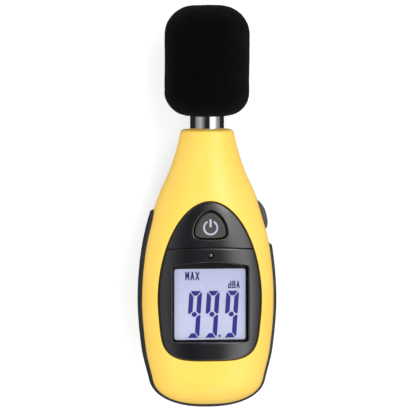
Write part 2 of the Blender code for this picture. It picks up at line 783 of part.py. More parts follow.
def battery_bay():
    """The box round the battery, open to the door, with a rail beside the door on each side."""
    outer = BAY_HALF + BAY_WALL
    start, end = BAY_START - BAY_WALL, BAY_END + BAY_WALL
    floor = WALL + GAP
    rail_top = floor + RAIL_THICKNESS
    lip = DOOR_HALF_WIDTH + GAP
    rail_out = lip + DOOR_RAIL * 2
    bay = box("bay_box", (-outer, start, floor), (outer, end, BAY_ROOF + BAY_WALL), helper=True)
    rail_start, rail_end = start + BAY_WALL / 2, end - BAY_WALL / 2
    join(bay, box("bay_rails", (-rail_out, rail_start, floor), (rail_out, rail_end, rail_top), helper=True))
    half = BAY_HALF
    inside = box("cut_bay", (-half, BAY_START, -1), (half, BAY_END, BAY_ROOF), helper=True)
    under_foot = box(
        "cut_bay_foot", (-half, start - 1, -1), (half, BAY_START + 1, BATTERY_BOTTOM + GAP / 2), helper=True
    )
    end_low = rail_top + GAP / 2
    under_end = box("cut_bay_end", (-half, BAY_END - 1, -1), (half, end + 1, end_low), helper=True)
    leads = rods_along("cut_leads", LEAD_X, LEAD_Z, BAY_END - 1, end + 1, LEAD_RADIUS * 2.2)
    roof = (BAY_ROOF - 1, BAY_ROOF + BAY_WALL + 1)
    trimmer = rod("cut_trimmer", (*TRIMMER, roof[0]), (*TRIMMER, roof[1]), TRIMMER_HOLE_RADIUS, helper=True)
    cut(bay, inside, under_foot, under_end, leads, trimmer)
    within(bay, form("guide_door_room", -WALL - GAP * 2))
    bm = bmesh.new()
    for low, high in ((GAP - rail_out, -lip), (lip, rail_out - GAP)):
        add_box(bm, (low, start + BAY_WALL, WALL / 2), (high, end - BAY_WALL, rail_top - GAP))
    feet = within(solid("bay_rail_feet", bm, helper=True), INNER_SKIN)
    return join(bay, feet)


def rods_along(name, x, z, start, end, radius):
    """A helper: two bars along Y, one on each side of the middle."""
    bm = bmesh.new()
    for side in (-x, x):
        add_rod(bm, (side, start, z), (side, end, z), radius)
    return solid(name, bm, helper=True)


def rear_case():
    high = MIDLINE_Z - GAP / 2
    case = solid("rear_case", case_form(0, (below(high), above(0))), CHARCOAL)
    cavity = form("cut_rear_cavity", -WALL, above(WALL), NECK_INSIDE)
    posts = rods_at("rear_posts", CASE_SCREWS, WALL / 2, high - GAP / 2, REAR_POST_RADIUS)
    webs = neck_webs("rear_webs", WALL / 2, high - GAP / 2)
    for piece in (posts, webs):
        within(piece, INNER_SKIN)
    door_hole = box(
        "cut_door",
        (-DOOR_HALF_WIDTH - GAP, FOOT - WALL, -1),
        (DOOR_HALF_WIDTH + GAP, DOOR_END + GAP, DOOR_END_HEIGHT + GAP),
        helper=True,
    )
    screw_holes = rods_at("cut_rear_screws", CASE_SCREWS, -1, high + 1, CASE_SCREW_RADIUS + SCREW_CLEARANCE)
    heads = rods_at("cut_screw_heads", CASE_SCREWS, -1, CASE_SCREW_SEAT, CASE_SCREW_HEAD + SCREW_CLEARANCE)
    cut(case, cavity, door_hole)
    join(case, posts, webs, battery_bay())
    cut(case, screw_holes, heads, TUBE_HOLE, GROOVE, SIDE_KEY_HOLE)


def battery_door():
    planes = (above(0), below(DOOR_END_HEIGHT), before(DOOR_END), *between_x(DOOR_HALF_WIDTH))
    door = solid("battery_door", case_form(0, planes), CHARCOAL)
    inside = form("cut_door_inside", -WALL, above(WALL))
    tongue_top = WALL + GAP + DOOR_TONGUE_THICKNESS
    half = DOOR_TONGUE_HALF_WIDTH
    root = box(
        "door_tongue_root",
        (-half, DOOR_END - DOOR_TONGUE_ROOT, WALL / 2),
        (half, DOOR_END - GAP, tongue_top),
        helper=True,
    )
    tongue = box(
        "door_tongue",
        (-half, DOOR_END - 1, WALL + GAP),
        (half, DOOR_END + DOOR_TONGUE_LENGTH, tongue_top),
        helper=True,
    )
    bm = bmesh.new()
    for k in range(DOOR_GROOVES):
        y = DOOR_GROOVE_START + k * DOOR_GROOVE_PITCH
        add_box(bm, (-half, y, -1), (half, y + DOOR_GROOVE_PITCH / 2, DOOR_GROOVE_DEPTH))
    grooves = solid("cut_door_grooves", bm, helper=True)
    cut(door, inside)
    join(door, root, tongue)
    cut(door, grooves)


def grip_band():
    band = form("grip_band_form", BAND_PROUD)
    cut(band, form("guide_band_inside", -BAND_LET_IN))
    strip = band_strips("grip_band", 0)
    strip.hide_render = False
    strip.display_type = "TEXTURED"
    strip.data.materials.append(GRIP_RUBBER)
    within(strip, band)
    strip.name = "grip_band"


# ---------------------------------------------------------------- display


def display():
    bezel = solid("display_bezel", case_form(BEZEL_PROUD), CHARCOAL)
    inside = form("guide_bezel_inside", BEZEL_PROUD - BEZEL_THICKNESS)
    outline = prism("guide_egg", egg(0), MIDLINE_Z + 2, FAR, helper=True)
    skirt = prism("window_skirt", window(WINDOW_SKIRT), LENS_TOP + GAP, FAR, helper=True)
    lens_room = prism("cut_lens", window(LENS_MARGIN + GAP), MIDLINE_Z, LENS_TOP + GAP, helper=True)
    opening = prism("cut_window", window(0), MIDLINE_Z, FAR, helper=True)
    key_hole = prism("cut_bezel_key", power_key(KEY_CLEARANCE), MIDLINE_Z, FAR, helper=True)
    pipe = (0, SENSOR_Y)
    pipe_radius = LIGHT_PIPE_RADIUS + GAP
    pipe_hole = rod("cut_bezel_pipe", (*pipe, MIDLINE_Z), (*pipe, FAR), pipe_radius, helper=True)
    within(skirt, INNER_SKIN)
    within(cut(bezel, inside), outline)
    join(bezel, skirt)
    cut(bezel, lens_room, opening, key_hole, pipe_hole)

    prism("display_window", window(LENS_MARGIN), LENS_BOTTOM, LENS_TOP, CLEAR)

    half = WINDOW_HALF_WIDTH - GLASS_INSET
    start, end = WINDOW_MIDDLE - half, WINDOW_MIDDLE + WINDOW_HALF_LENGTH - GLASS_INSET
    box("lcd_panel", (-half, start, GLASS_BOTTOM), (half, end, LENS_BOTTOM - GAP), LCD_GLASS)
    zebra_end = start + GAP + ZEBRA_WIDTH
    length = ZEBRA_HALF_LENGTH
    box("zebra_strip", (-length, start + GAP, BOARD_SEAT), (length, zebra_end, GLASS_BOTTOM - GAP), ZEBRA)
    light_top = GLASS_BOTTOM - GAP
    box("backlight_panel", (-half, zebra_end + GAP, LIGHT_BOTTOM), (half, end, light_top), LIGHT_GUIDE)
    bracket = prism("lcd_bracket", window(LENS_MARGIN), BOARD_SEAT, LENS_BOTTOM - GAP, WHITE_PLASTIC)
    room = box(
        "cut_bracket",
        (-half - GAP, start - GAP, BOARD_BOTTOM),
        (half + GAP, end + GAP, LENS_TOP),
        helper=True,
    )
    cut(bracket, room)


# ---------------------------------------------------------------- keys, sensor and switches


def power_switch():
    key = prism("power_key", power_key(0), POWER_KEY_BOTTOM, FAR, KEY_GREY)
    flange_top = POWER_KEY_BOTTOM + KEY_FLANGE
    flange = prism("power_key_flange", power_key(KEY_FLANGE), POWER_KEY_BOTTOM, flange_top, helper=True)
    join(within(key, form("guide_key_top", BEZEL_PROUD + POWER_KEY_PROUD)), flange)
    top = BOARD_SEAT + SWITCH_HEIGHT
    half = SWITCH_HALF
    base = box(
        "power_switch_base",
        (-half, POWER_KEY_Y - half, BOARD_SEAT),
        (half, POWER_KEY_Y + half, top),
        CHIP_BLACK,
    )
    at = (0, POWER_KEY_Y)
    floor = BOARD_SEAT + SWITCH_FLOOR
    cut(base, rod("cut_power_plunger", (*at, floor), (*at, top + 1), PLUNGER_RADIUS + GAP, helper=True))
    low = floor + KEY_TRAVEL + GAP
    rod("power_switch_plunger", (*at, low), (*at, POWER_KEY_BOTTOM - GAP), PLUNGER_RADIUS, WHITE_PLASTIC)


def side_switch():
    """The side key, its flange inside the case, and the switch under the board that it presses."""
    slope = math.atan2(half_width(SIDE_KEY_Y - 1) - half_width(SIDE_KEY_Y + 1), 2)
    face = half_width(SIDE_KEY_Y)
    radius = (SIDE_KEY_HALF_LENGTH**2 + SIDE_KEY_PROUD**2) / (2 * SIDE_KEY_PROUD)
    back = radius - SIDE_KEY_PROUD
    middle = (face - back * math.cos(slope), SIDE_KEY_Y - back * math.sin(slope))
    reach = SIDE_KEY_HALF_HEIGHT * 2
    lens = rod(
        "guide_side_key_lens",
        (*middle, SIDE_KEY_Z - reach),
        (*middle, SIDE_KEY_Z + reach),
        radius,
        helper=True,
        sides=64,
    )
    flange_face = -WALL - GAP * 2
    flange_back = flange_face - KEY_FLANGE
    key = side_prism("side_key", side_key_outline(0), 0, FAR)
    key.hide_render = False
    key.display_type = "TEXTURED"
    key.data.materials.append(KEY_GREY)
    within(key, lens)
    flange = side_prism("side_key_flange", side_key_outline(KEY_FLANGE), 0, FAR)
    within(flange, form("guide_flange_face", flange_face))
    inside = form("guide_flange_back", flange_back)
    join(key, flange)
    cut(key, inside)

    far_side = half_width(SIDE_KEY_Y + SWITCH_HALF)
    x = far_side + flange_back / math.cos(slope) - KEY_TRAVEL - SIDE_SWITCH_CLEARANCE
    low, high = SIDE_KEY_Z - SWITCH_HALF, BOARD_BOTTOM - GAP
    base = box(
        "side_switch_base",
        (x - SIDE_SWITCH_DEPTH, SIDE_KEY_Y - SWITCH_HALF, low),
        (x, SIDE_KEY_Y + SWITCH_HALF, high),
        CHIP_BLACK,
    )
    start = x - SIDE_SWITCH_DEPTH + SWITCH_FLOOR
    at = (SIDE_KEY_Y, SIDE_KEY_Z)
    hole = rod("cut_side_plunger", (start, *at), (x + 1, *at), PLUNGER_RADIUS + GAP, helper=True)
    cut(base, hole)
    tip = half_width(SIDE_KEY_Y + PLUNGER_RADIUS) + flange_back / math.cos(slope) - GAP * 2
    rod("side_switch_plunger", (start + KEY_TRAVEL + GAP, *at), (tip, *at), PLUNGER_RADIUS, WHITE_PLASTIC)


def light_sensor():
    at = (0, SENSOR_Y)
    top = BOARD_SEAT + SENSOR_HEIGHT
    pipe = rod("light_pipe", (*at, top + GAP), (*at, FAR), LIGHT_PIPE_RADIUS, AMBER)
    within(pipe, form("guide_pipe_top", BEZEL_PROUD - LIGHT_PIPE_SUNK))
    rod("light_sensor", (*at, BOARD_SEAT), (*at, top), SENSOR_RADIUS, CLEAR)


# ---------------------------------------------------------------- circuit board


def circuit_board():
    right = [(BOARD_TIP_HALF_WIDTH, BOARD_END)]
    for k in range(BOARD_STEPS + 1):
        y = BOARD_END - BOARD_TIP_TAPER - (BOARD_END - BOARD_TIP_TAPER - BOARD_START) * k / BOARD_STEPS
        height = (BOARD_TOP - MIDLINE_Z) / front_height(y)
        power = section_power(y, FRONT_POWER)
        inner = half_width(y) * (1 - height**power) ** (1 / power) - WALL
        right.append((min(BOARD_HALF_WIDTH, inner - BOARD_EDGE_ROOM), y))
    outline = right + [(-x, y) for x, y in reversed(right)]
    board = prism("main_board", outline, BOARD_BOTTOM, BOARD_TOP, BOARD_GREEN)
    radius = BOARD_SCREW_RADIUS + GAP
    cut(board, rods_at("cut_board_holes", BOARD_SCREWS, BOARD_BOTTOM - 1, BOARD_TOP + 1, radius))
    places = [(side * x, y) for x, y in BOARD_SCREWS for side in (-1, 1)]
    for k, (x, y) in enumerate(places, 1):
        bm = bmesh.new()
        seat = BOARD_BOTTOM - GAP
        profile = (
            (BOARD_SCREW_HEAD, seat - BOARD_SCREW_RADIUS),
            (BOARD_SCREW_HEAD, seat),
            (BOARD_SCREW_RADIUS, seat),
            (BOARD_SCREW_RADIUS, BOARD_SEAT + BOARD_SCREW_REACH),
        )
        add_turned(bm, (x, y), profile)
        solid(f"board_screw_{k}", bm, STEEL)
    seat = BOARD_SEAT
    for name, low, high, height, look in TOP_PARTS:
        box(name, (*low, seat), (*high, seat + height), look, bevel=CHIP_BEVEL)
    under = BOARD_BOTTOM - GAP
    middle = under - CAPACITOR_RADIUS
    for k, x in enumerate(CAPACITOR_X, 1):
        start, end = (x, CAPACITOR_Y, middle), (x, CAPACITOR_Y + CAPACITOR_LENGTH, middle)
        rod(f"capacitor_{k}", start, end, CAPACITOR_RADIUS, CAN_BLUE)
    half = MIC_HEADER_WIDTH / 2
    header_end = MIC_HEADER_START + MIC_HEADER_LENGTH
    low = under - MIC_HEADER_HEIGHT
    box("mic_header", (-half, MIC_HEADER_START, low), (half, header_end, under), WHITE_PLASTIC)

    x, y = TRIMMER
    half = TRIMMER_HALF
    base_low = under - TRIMMER_HEIGHT
    box("trimmer_base", (x - half, y - half, base_low), (x + half, y + half, under), TRIMMER_BLUE)
    rotor_high = base_low - GAP
    rotor_low = rotor_high - TRIMMER_ROTOR_HEIGHT
    radius = TRIMMER_ROTOR_RADIUS
    rotor = rod("trimmer_rotor", (x, y, rotor_low), (x, y, rotor_high), radius, BRASS, sides=ROUND_SIDES)
    slot = box(
        "cut_trimmer_slot",
        (x - FAR, y - TRIMMER_SLOT / 2, rotor_low - 1),
        (x + FAR, y + TRIMMER_SLOT / 2, rotor_low + TRIMMER_ROTOR_HEIGHT / 2),
        helper=True,
    )
    cut(rotor, slot)


def add_turned(bm, at, profile):
    """A profile of (radius, height) turned about an upright axis, closed at both ends."""
    x, y = at
    points = [(0, profile[0][1]), *profile, (0, profile[-1][1])]
    verts = [bm.verts.new((x + r, y, z)) for r, z in points]
    edges = [bm.edges.new(pair) for pair in zip(verts, verts[1:])]
    bmesh.ops.spin(
        bm,
        geom=verts + edges,
        cent=(x, y, 0),
        axis=(0, 0, 1),
        angle=2 * math.pi,
        steps=SCREW_SIDES,
        use_merge=True,
    )
    bmesh.ops.remove_doubles(bm, verts=bm.verts[:], dist=0.001)


def case_screws():
    places = [(side * x, y) for x, y in CASE_SCREWS for side in (-1, 1)]
    seat = CASE_SCREW_SEAT - GAP
    profile = (
        (CASE_SCREW_HEAD, seat - CASE_SCREW_HEAD_HEIGHT),
        (CASE_SCREW_HEAD, seat),
        (CASE_SCREW_RADIUS, seat),
        (CASE_SCREW_RADIUS, seat + CASE_SCREW_LENGTH),
    )
    for k, (x, y) in enumerate(places, 1):
        bm = bmesh.new()
        add_turned(bm, (x, y), profile)
        screw = solid(f"case_screw_{k}", bm, STEEL)
        low = seat - CASE_SCREW_HEAD_HEIGHT
        long, wide, floor = CROSS_LENGTH / 2, CROSS_WIDTH / 2, low + CROSS_DEPTH
        for way, a, b in (("across", long, wide), ("along", wide, long)):
            corners = (x - a, y - b, low - 1), (x + a, y + b, floor)
            cut(screw, box(f"cut_screw_{k}_{way}", *corners, helper=True))


# ---------------------------------------------------------------- battery


def battery():
    middle = BATTERY_MIDDLE
    cell = box(
        "battery_9v",
        (-BATTERY_WIDTH / 2, BATTERY_START, BATTERY_BOTTOM),
        (BATTERY_WIDTH / 2, BATTERY_END, BATTERY_BOTTOM + BATTERY_THICKNESS),
        BATTERY_COAT,
        bevel=1.6,
    )
    snap = box(
        "battery_snap",
        (-SNAP_HALF_WIDTH, SNAP_START, middle - SNAP_HALF_HEIGHT),
        (SNAP_HALF_WIDTH, SNAP_END, middle + SNAP_HALF_HEIGHT),
        CHIP_BLACK,
        bevel=1.0,
    )
    tip = BATTERY_END + TERMINAL_HEIGHT
    plus, minus = ("plus", TERMINAL_OFFSET, PLUS_RADIUS), ("minus", -TERMINAL_OFFSET, MINUS_RADIUS)
    for name, x, radius in (plus, minus):
        start, end = (x, BATTERY_END - 1, middle), (x, tip, middle)
        join(cell, rod(f"terminal_{name}", start, end, radius, helper=True))
        deep = (x, tip + GAP, middle)
        cut(snap, rod(f"cut_socket_{name}", start, deep, radius + GAP, helper=True))
    for name, side, look in (("red", 1, RED_WIRE), ("black", -1, BLACK_WIRE)):
        x = side * LEAD_X
        route = (
            (x, SNAP_END + GAP, LEAD_Z - 0.6),
            (x, BAY_END + BAY_WALL / 2, LEAD_Z),
            (x, BAY_END + 5.0, LEAD_Z + 2.5),
            (x * 1.2, BAY_END + 10.0, LEAD_Z + 8.0),
            (x * 1.3, BAY_END + 13.0, BOARD_BOTTOM - GAP),
        )
        wire(f"battery_lead_{name}", route, LEAD_RADIUS, look)
    box(
        "battery_pad",
        (-PAD_HALF_WIDTH, BATTERY_START + 6, WALL + GAP),
        (PAD_HALF_WIDTH, BATTERY_START + 6 + PAD_LENGTH, BATTERY_BOTTOM - GAP),
        PAD_FOAM,
        bevel=0.6,
    )


# ---------------------------------------------------------------- microphone and windscreen


def microphone():
    thread = TUBE_RADIUS - THREAD_DEPTH
    shoulder = TUBE_TIP - TUBE_THREAD
    flange = TUBE_RADIUS + FLANGE_PROUD
    turned(
        "mic_tube",
        (
            (TUBE_BORE, TUBE_START),
            (TUBE_RADIUS, TUBE_START),
            (TUBE_RADIUS, FLANGE_START),
            (flange, FLANGE_START),
            (flange, FLANGE_START + FLANGE_LENGTH),
            (TUBE_RADIUS, FLANGE_START + FLANGE_LENGTH),
            (TUBE_RADIUS, shoulder),
            (thread, shoulder),
            (thread, TUBE_TIP),
            (TUBE_BORE, TUBE_TIP),
        ),
        CHROME,
    )
    plate = GRID_TIP - GRID_PLATE
    grid = turned(
        "capsule_grid",
        (
            (thread + GAP, GRID_START),
            (TUBE_RADIUS, GRID_START),
            (TUBE_RADIUS, GRID_TIP - 0.6),
            (TUBE_RADIUS - 0.6, GRID_TIP),
            (0, GRID_TIP),
            (0, plate),
            (thread + GAP, plate),
        ),
        CHROME,
    )
    bm = bmesh.new()
    for k in range(GRID_HOLES + 1):
        angle = 2 * math.pi * k / GRID_HOLES
        reach = GRID_HOLE_CIRCLE if k < GRID_HOLES else 0
        x, z = reach * math.cos(angle), MIDLINE_Z + reach * math.sin(angle)
        add_rod(bm, (x, plate - 1, z), (x, GRID_TIP + 1, z), GRID_HOLE_RADIUS, 10)
    cut(grid, solid("cut_grid_holes", bm, helper=True))

    front = TUBE_TIP - GAP
    boot_radius = TUBE_BORE - GAP
    boot_start = front - BOOT_LENGTH
    back = front - CAPSULE_LENGTH - GAP
    turned(
        "capsule_boot",
        (
            (MIC_LEAD_RADIUS * 2, boot_start),
            (boot_radius, boot_start),
            (boot_radius, front),
            (CAPSULE_RADIUS + GAP, front),
            (CAPSULE_RADIUS + GAP, back),
            (MIC_LEAD_RADIUS * 2, back),
        ),
        GRIP_RUBBER,
    )
    ends = (0, back + GAP, MIDLINE_Z), (0, front + GAP, MIDLINE_Z)
    rod("mic_capsule", *ends, CAPSULE_RADIUS, BRASS, sides=ROUND_SIDES)
    board_end = boot_start - GAP * 3
    half = PREAMP_WIDTH / 2
    thickness = PREAMP_THICKNESS / 2
    box(
        "preamp_board",
        (-half, board_end - PREAMP_LENGTH, MIDLINE_Z - thickness),
        (half, board_end, MIDLINE_Z + thickness),
        BOARD_GREEN,
    )
    under = BOARD_BOTTOM - GAP - 2.0
    start = board_end - PREAMP_LENGTH - GAP
    header = MIC_HEADER_START + MIC_HEADER_LENGTH + GAP
    route = (
        (0, start, MIDLINE_Z),
        (0, start - 12, MIDLINE_Z - 0.6),
        (0, TUBE_START + 6, MIDLINE_Z - 0.4),
        (0, TUBE_START - 3, MIDLINE_Z + 1.2),
        (0, header + 3.5, under - 0.6),
        (0, header, under),
    )
    wire("mic_lead", route, MIC_LEAD_RADIUS, GREY_WIRE)


def windscreen():
    """Foam with round shoulders and a straight bore that grips the tube."""
    bore = TUBE_RADIUS + GAP
    end = FOAM_START + FOAM_LENGTH
    foot_rounding_limit = FOAM_RADIUS - bore - GAP
    foot = min(FOAM_FOOT_ROUNDING, foot_rounding_limit)
    profile = [(0, end)]
    for centre_y, rounding, first in (
        (end - FOAM_TOP_ROUNDING, FOAM_TOP_ROUNDING, 90),
        (FOAM_START + foot, foot, 0),
    ):
        for k in range(FOAM_ARC_STEPS + 1):
            angle = math.radians(first - 90 * k / FOAM_ARC_STEPS)
            reach = FOAM_RADIUS - rounding + rounding * math.cos(angle)
            profile.append((reach, centre_y + rounding * math.sin(angle)))
    bottom = FOAM_START + FOAM_BORE_DEPTH
    profile += [(bore, FOAM_START), (bore, bottom), (0, bottom)]
    turned("windscreen", profile, FOAM)


front_case()
rear_case()
battery_door()
grip_band()
display()
power_switch()
side_switch()
light_sensor()
circuit_board()
case_screws()
battery()
microphone()
windscreen()
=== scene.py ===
"""A handheld sound level meter lying on its back: a yellow front shell on a charcoal rear shell, a
rubber grip band, an egg-shaped display bezel, a key on the front and one on the side, and a
microphone tube under a foam windscreen.

Shapes are made in millimetres, with Y measured from the foot end, and are put into the frame in
metres when they are hung on a body.
"""

import math

import bmesh
import bpy
import numpy as np
from mathutils import Matrix, Vector, noise


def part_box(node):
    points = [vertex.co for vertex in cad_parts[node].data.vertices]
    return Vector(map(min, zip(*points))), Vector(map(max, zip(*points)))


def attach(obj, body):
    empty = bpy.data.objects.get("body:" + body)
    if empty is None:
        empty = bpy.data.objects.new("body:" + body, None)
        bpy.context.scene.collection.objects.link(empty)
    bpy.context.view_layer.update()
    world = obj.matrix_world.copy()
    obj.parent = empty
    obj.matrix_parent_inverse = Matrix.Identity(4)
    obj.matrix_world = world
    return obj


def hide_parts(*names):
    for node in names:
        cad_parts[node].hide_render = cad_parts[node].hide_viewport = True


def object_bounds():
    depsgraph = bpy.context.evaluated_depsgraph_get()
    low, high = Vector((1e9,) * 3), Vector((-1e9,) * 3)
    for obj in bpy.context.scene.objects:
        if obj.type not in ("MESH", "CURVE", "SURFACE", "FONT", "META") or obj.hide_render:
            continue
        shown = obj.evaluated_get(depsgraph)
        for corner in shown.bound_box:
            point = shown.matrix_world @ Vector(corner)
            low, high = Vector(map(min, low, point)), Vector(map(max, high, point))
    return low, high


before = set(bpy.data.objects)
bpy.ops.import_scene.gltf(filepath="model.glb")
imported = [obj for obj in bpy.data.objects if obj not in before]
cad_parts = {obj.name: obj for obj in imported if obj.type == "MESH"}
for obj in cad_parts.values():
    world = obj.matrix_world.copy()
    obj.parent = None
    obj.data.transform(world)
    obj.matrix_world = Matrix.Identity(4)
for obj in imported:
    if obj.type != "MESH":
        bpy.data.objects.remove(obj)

CAD_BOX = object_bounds()
MM = 0.001
FOOT_END = CAD_BOX[0].y
TO_FRAME = Matrix.Translation((0, FOOT_END, 0)) @ Matrix.Scale(MM, 4)
FAR = 80.0


def corners(name):
    """Lowest and highest corner of a CAD node in millimetres, with Y from the foot end."""
    return [Vector((p.x, p.y - FOOT_END, p.z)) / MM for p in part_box(name)]


# The front shell. CASE_SHAPE gives shares of the case's length, half width and height.
FOOT = 1.3
NECK_END = 142.1
MIDLINE_Z = 26.0
CASE_HALF_WIDTH = 33.9
FRONT_HEIGHT = 23.6
CASE_SHAPE = (
    (0.0, 0.755, 0.85),
    (0.097, 0.841, 0.924),
    (0.204, 0.941, 0.975),
    (0.382, 1.0, 1.0),
    (0.561, 0.944, 0.97),
    (0.703, 0.808, 0.856),
    (0.775, 0.705, 0.767),
    (0.846, 0.572, 0.669),
    (0.917, 0.472, 0.602),
    (1.0, 0.389, 0.559),
)
HALF_WIDTHS, HEIGHTS = 1, 2
# How far up the foot's rounding reaches and how square it is, seen from the front and the side
FOOT_ROUND_WIDE = (13.0, 2.3)
FOOT_ROUND_DEEP = (15.0, 2.0)
FOOT_BEND = 14.0
# The section goes from a squarish body to a round neck between two shares of the length.
BODY_POWER = 2.6
NECK_POWER = 2.0
NECK_TURN = (0.6, 0.9)
NECK_EDGE = 1.3
NECK_BORE = 8.75
NECK_BORE_DEPTH = 3.6
# The lip at the neck's end: share of the way out from the bore, and rise past the end
NECK_LIP = ((0.75, 0.28), (0.4, 0.55), (0.12, 0.66))
BORE_MOUTH_RISE = 0.55
WALL = 2.2
GAP = 0.3
# The edge round the bezel: distance out from the bezel, and depth under the surface
SHELL_LIP = ((GAP, 3.0), (GAP, 0.5), (0.36, 0.26), (0.5, 0.1), (0.75, 0.02))
SHELL_LIP_WIDTH = 1.1
SHELL_CENTRE = (0.0, 64.0)

# Bezel, window and display
EGG_MIDDLE = 56.8
EGG_HALF_WIDTH = 26.1
EGG_TOP = 49.8
EGG_FOOT = 30.3
EGG_TOP_POWER = 1.95
EGG_FOOT_POWER = 4.0
EGG_FOOT_SLOPE = 0.027
BEZEL_PROUD = 0.3
BEZEL_DEPTH = 3.0
STEP_Y = 83.7
STEP_DROP = 1.3
KEY_PANEL_CENTRE = (0.0, 94.0)
KEY_PANEL_FLOOR = 44.0
WINDOW_MIDDLE = 55.0
WINDOW_CENTRE = (0.0, WINDOW_MIDDLE)
WINDOW_HALF = 19.3
LENS_OVERLAP = 0.95
WINDOW_ARCH = 2.0
WINDOW_CORNER = 1.6
VIEW_HALF_WIDTH = 18.0
VIEW_LOW, VIEW_HIGH = 36.6, 72.6
VIEW_CORNER = 1.2
SEGMENT_THICKNESS = 0.06
DIGIT_LEFTS = (-10.4, -1.45, 8.35)
DIGIT_TOP = 61.4
DIGIT_WIDTH = 6.5
DIGIT_HEIGHT = 23.8
DIGIT_BAR = 2.3
DIGIT_LEAN = 0.065
POINT = ((4.3, 37.9), (5.4, 37.9), (5.5, 39.1), (4.4, 39.1))
# Each word with its lower left and upper right corners and the width of its strokes
WORDS = (
    ("MAX", (-12.5, 66.9), (-4.8, 71.2), 0.64),
    ("dBA", (9.2, 62.7), (15.5, 66.4), 0.56),
)
PIPE_RADIUS = 1.25
PIPE_HOLE = (1.3, 1.95)
PIPE_SUNK = 0.35

# Keys
POWER_KEY_HALF_WIDTH = 7.85
POWER_KEY_MIDDLE = 91.7
POWER_KEY_TOP = 9.7
POWER_KEY_TOP_POWER = 1.75
POWER_KEY_FOOT = 3.2
POWER_KEY_FOOT_POWER = 3.4
POWER_KEY_PROUD = 1.0
POWER_KEY_FLANGE = 1.1
POWER_KEY_DISH = 0.3
POWER_KEY_DISH_RADIUS = 7.0
# The key's rounded edge: distance in from its side, and depth under its top
POWER_KEY_EDGE = ((0, 1.3), (0.04, 0.85), (0.14, 0.5), (0.32, 0.24), (0.6, 0.08), (0.95, 0))
POWER_SIGN_Y = 93.85
POWER_SIGN_RADII = (3.8, 2.9)
POWER_SIGN_OPENING = 27.0
POWER_SIGN_BAR_HALF = 0.55
KEY_CLEARANCE = 0.45
SIDE_KEY_Y = 98.3
SIDE_KEY_Z = 27.5
SIDE_KEY_HALF = (7.8, 4.0)
SIDE_KEY_PROUD = 2.2
SIDE_KEY_ROUNDING = 3.6
SIDE_KEY_CLEARANCE = 0.4
SIDE_KEY_FLAT = 0.83

# Grip band
BAND_HALF_HEIGHT = 6.0
BAND_TIP_HALF_HEIGHT = 1.0
BAND_TAPER = 11.0
BAND_LEFT_TIP = 101.5
BAND_RIGHT_TIP = 84.0
BAND_TIP_ROUND = 1.5
BAND_SIDE_START = 25.0
BAND_SUNK = 1.0
BAND_PROUD_AT_FOOT = 1.22
BAND_PROUD_MORE_UP = 0.24
BAND_SQUARENESS = 0.45
BAND_LEAN_FRONT, BAND_LEAN_REAR = 0.42, 0.15
BAND_POINTS_ROUND = 28

# Microphone tube: its thread and its flange inside the neck
TUBE_RADIUS = 8.6
TUBE_BORE = 7.3
FLANGE_START, FLANGE_END = NECK_END - 20.8, NECK_END - 17.8
THREAD_LENGTH = 4.0
THREAD_PITCH = 0.7
THREAD_ROOT, THREAD_CREST = TUBE_RADIUS - 0.95, TUBE_RADIUS - 0.7

# Foam windscreen
FOAM_BORE = 8.9
FOAM_BORE_DEPTH = 32.0
FOAM_MOUTH_ROUND = 0.5
FOAM_TOP_ROUND = 15.0
# Size of the lumps and the cut cells, and how far they stand out
FOAM_LUMPS = (11.0, 0.22)
FOAM_SMALL_LUMPS = (4.0, 0.09)
FOAM_PITS = (0.9, 0.1)


# -------- materials


def linear(code):
    """A hex colour as linear red, green, blue and an opaque fourth number."""
    parts = [int(code[i : i + 2], 16) / 255 for i in (0, 2, 4)]
    return (*[c / 12.92 if c <= 0.04045 else ((c + 0.055) / 1.055) ** 2.4 for c in parts], 1)


def node(tree, kind, settings=None, inputs=None):
    """A shader node with its settings, and its inputs set to values or linked to sockets."""
    made = tree.nodes.new("ShaderNode" + kind)
    for key, value in (settings or {}).items():
        setattr(made, key, value)
    for key, value in (inputs or {}).items():
        if isinstance(value, bpy.types.NodeSocket):
            tree.links.new(value, made.inputs[key])
        else:
            made.inputs[key].default_value = value
    return made


def new_material(name):
    """A material with an empty tree, its shader and the piece's own coordinates."""
    made = bpy.data.materials.new(name)
    made.use_nodes = True
    tree = made.node_tree
    shader = tree.nodes["Principled BSDF"]
    place = node(tree, "TexCoord").outputs["Object"]
    return made, tree, shader, place


def cloud(tree, place, size_mm, detail=3.0, stretch=(1, 1, 1)):
    """Noise whose patches are about this many millimetres across."""
    turned = node(tree, "Mapping", inputs={"Vector": place, "Scale": stretch}).outputs["Vector"]
    inputs = {"Vector": turned, "Scale": 1 / (size_mm * MM), "Detail": detail}
    return node(tree, "TexNoise", inputs=inputs).outputs["Fac"]


def between(tree, share, low, high, start=0.3, end=0.7):
    """A number that runs from low to high as share runs from start to end."""
    inputs = {"Value": share, "From Min": start, "From Max": end, "To Min": low, "To Max": high}
    return node(tree, "MapRange", inputs=inputs).outputs["Result"]


def blended(tree, share, first, second, start=0.3, end=0.7):
    """A colour that runs from one hex colour to another as share runs from start to end."""
    ramp = node(tree, "ValToRGB", inputs={"Fac": share})
    ramp.color_ramp.elements[0].position = start
    ramp.color_ramp.elements[1].position = end
    ramp.color_ramp.elements[0].color = linear(first)
    ramp.color_ramp.elements[1].color = linear(second)
    return ramp.outputs["Color"]


def dress(tree, shader, colour, roughness, height=None, depth=0.0, **sockets):
    """Gives the shader its colour and roughness, a relief whose depth is in millimetres, and
    the values that are the same all over."""
    tree.links.new(colour, shader.inputs["Base Color"])
    tree.links.new(roughness, shader.inputs["Roughness"])
    if height:
        inputs = {"Height": height, "Strength": 1.0, "Distance": depth * MM}
        relief = node(tree, "Bump", inputs=inputs).outputs["Normal"]
        tree.links.new(relief, shader.inputs["Normal"])
    for key, value in sockets.items():
        shader.inputs[key.replace("_", " ")].default_value = value


